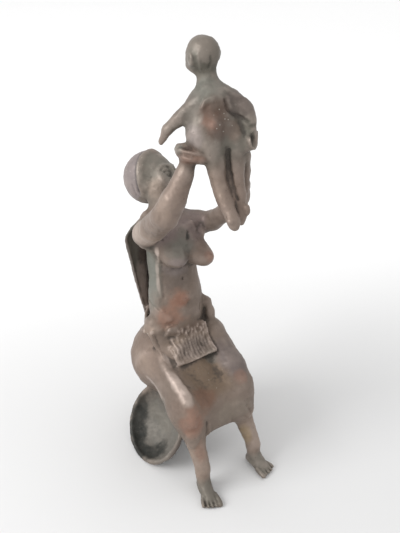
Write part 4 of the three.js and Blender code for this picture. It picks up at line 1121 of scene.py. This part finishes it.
ACCENTS = [
    # laid over the rubbed ridges with a crisper edge, and the same five values
    ((-24, -14, 20), (30, 34, 26), IRON_GREY, 0.8, 0.1),
    # painted shade: a dark crescent down the bowl's left and lower inner wall, where the rim shades it
    ((-21, 11, 26), (5, 6, 12), BLACK, 0.7, 0.7),
    ((-26, 8.6, 17), (8, 8, 11), BLACK, 0.8, 0.7),
    ((-31, 4, 11), (8, 10, 10), BLACK, 0.8, 0.7),
    ((-34, -3, 6.4), (8, 12, 8), BLACK, 0.85, 0.7),
    ((-35, -10, 4), (9, 12, 6.4), BLACK, 0.85, 0.7),
    ((-31, -17, 3.6), (11, 11, 5.4), BLACK, 0.85, 0.7),
    ((-23, -24, 6), (8, 9, 5), BLACK, 0.7, 0.9),
    # painted light: the lit floor of the bowl, paler grey
    ((-15, -4, 19), (5, 14, 9), LICHEN, 0.6, 0.8),
    ((-26, -42, 14), (14, 5, 22), UMBER, 0.6, 0.3),
    # painted highlight: a broad pale band of gloss along the near thigh's ridge
    ((-23.4, -36, 79), (4.4, 9, 5), BISQUE, 0.6, 0.3),
    ((-23.8, -43, 76.4), (4.6, 9, 5), BISQUE, 0.6, 0.3),
    ((-24.2, -51, 73), (4.6, 8, 5), BISQUE, 0.5, 0.3),
    ((-19.6, -22, 82), (2, 9, 4), BISQUE, 0.45, 0.4),
    # pale dust and a painted glint on a raised lump at the waist
    ((-22.8, -10, 98.8), (1.5, 1.5, 1.7), BISQUE, 0.8, 0.2),
    ((-6, -45, 266), (13, 9, 8), GREY_GREEN, 0.5, 0.3),
    ((-4.6, -53, 256), (8, 7, 9), AUBURN, 0.65, 0.4),
    ((-4, -57, 247), (7, 6, 7), UMBER, 0.4, 0.4),
    ((-17, -42, 257), (9, 10, 10), UMBER, 0.4, 0.4),
    ((-2.6, -18, 158), (8, 7, 7), GREY_GREEN, 0.35, 0.5),
    ((-2, -20.6, 149.6), (6, 5, 3.4), LILAC, 0.35, 0.5),
    # pale dust and a painted glint on the second raised lump at the waist
    ((-23.7, -2.6, 96.6), (1.5, 1.5, 1.7), BISQUE, 0.8, 0.2),
    ((-13, -12, 101), (6, 5, 4), CLAY, 0.35, 0.5),
    # painted highlight: the pale lit edge of the cloth down the near flank
    ((-15.4, -8, 140), (1.3, 3, 16), BISQUE, 0.4, 0.2),
    ((-24.2, -8, 99), (4, 7, 4), SHELL, 0.5, 0.6),
    ((-16, -8.4, 156), (1.8, 2.4, 5), BISQUE, 0.8, 0.4),
    ((-19.4, -5.6, 160), (3.6, 3.6, 3), BLACK, 0.5, 1.4),
    ((-29, -20, 64), (8, 14, 2.6), BISQUE, 0.35, 0.4),
    ((-1.6, -22.6, 84.2), (16, 6, 1.6), BISQUE, 0.3, 0.4),
    # painted shade in the pressed crease at the neck
    ((3.6, -13.8, 164), (1.6, 2, 3), BLACK, 0.5, 0.3),
    ((-17, -48, 233), (10, 10, 5), AUBURN, 0.45, 0.4),
    ((-31, -16, 172), (9, 18, 8), BISQUE, 0.22, 0.4),
    ((-23, 6, 161), (8, 12, 8), BISQUE, 0.35, 0.4),
    ((-17, -48, 231), (6, 6, 3), CLAY, 0.4, 0.4),
    ((12, -56, 258), (8, 8, 8), UMBER, 0.45, 0.5),
    # painted shade in the hollow of the hand round the child's wrist
    ((10.9, -65.6, 241.4), (2.4, 2.4, 3), BLACK, 0.75, 0.3),
    ((-21, 15, 156), (8, 9, 30), LICHEN, 0.95, 0.3),
    ((-15, 15, 114), (7, 7, 24), BISQUE, 0.45, 0.3),
    # painted shade: the upper inside of the cape, under the shoulder
    ((-24, 17, 166), (7, 7, 10), BLACK, 0.4, 0.6),
]
CAPE_RIM = Vector((-27.4, 11.4, 161)), Vector((-13.6, 14.4, 99))
for step in range(9):
    ACCENTS.append((tuple(CAPE_RIM[0].lerp(CAPE_RIM[1], step / 8)), (2, 3.6, 6), UMBER, 0.75, 0.2))
DUSTY = [
    # centre and reach of the places where pale dust is caught
    ((-33, -34, 14), (9, 9, 20)),
    ((-23, -9, 98), (7, 8, 5)),
    ((-3, -56, 249), (7, 6, 14)),
    ((2, -40, 63), (8, 12, 12)),
    ((-10, 26, 200), (6, 8, 10)),
]


def stain_mask(centre, reach, wander, softness=0.4):
    return placed_group(
        "soft stain", Place=place, Centre=at(*centre), Reach=Vector(reach) / 1000,
        Drift=mottle["Middle"], Wander=wander, Softness=softness,
    )["Mask"]


for centre, reach, tint, strength, wander in STAINS:
    colour = over(colour, tint, stain_mask(centre, reach, wander), strength)
colour = over(colour, MAUVE, measured("cap"), 0.95)
rubbed_tone = over(colour, BISQUE, mottle["Broad"], 0.55)
colour = over(colour, rubbed_tone, wear["Rubbed"], 0.5)
# Patina dark in the hollows, and painted shade where the sky is hidden from the skin.
colour = over(colour, SOOT_AND_SHADE, wear["Dirt and shade"], 0.72)
colour = over(colour, SOOT_AND_SHADE, cast_skin["Pits"], 0.35)
for centre, reach, tint, strength, wander in ACCENTS:
    colour = over(colour, tint, stain_mask(centre, reach, wander, 0.3), strength)
colour = over(colour, BISQUE, times(measured("thread"), mottle["Fine"]), 0.85)
# painted shade in the groove along the cap's edge
colour = over(colour, BLACK, measured("cap_groove_shade"), 0.5)
colour = over(colour, UMBER, mottle["Fine"], 0.16)
dusty = 0.08
for centre, reach in DUSTY:
    dusty = reckon("MAXIMUM", dusty, stain_mask(centre, reach, 0.6))
colour = over(colour, DUST, times(dust["Specks"], dusty), 0.7)
colour = over(colour, DUST, times(dust["Crumbs"], dusty), 0.8)
feed(surface.inputs["Base Color"], colour)

roughness = plus(plus(times(mottle["Middle"], 0.12), 0.50), times(wear["Dirt and shade"], 0.25))
feed(surface.inputs["Roughness"], minus(roughness, times(wear["Rubbed"], 0.1)))
feed(surface.inputs["Metallic"], minus(0.35, times(wear["Dirt and shade"], 0.3)))
surface.inputs["Specular IOR Level"].default_value = 0.3
bump = add("ShaderNodeBump", Strength=0.25, Distance=0.0006, Height=cast_skin["Height"])
feed(surface.inputs["Normal"], bump.outputs["Normal"])
figure.data.materials.append(bronze)
print("patina mixed from", len(STAINS), "stains and", len(ACCENTS), "accents")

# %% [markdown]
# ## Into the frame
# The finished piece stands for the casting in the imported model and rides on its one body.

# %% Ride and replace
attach(figure, "root")
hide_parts("maternity_figure")
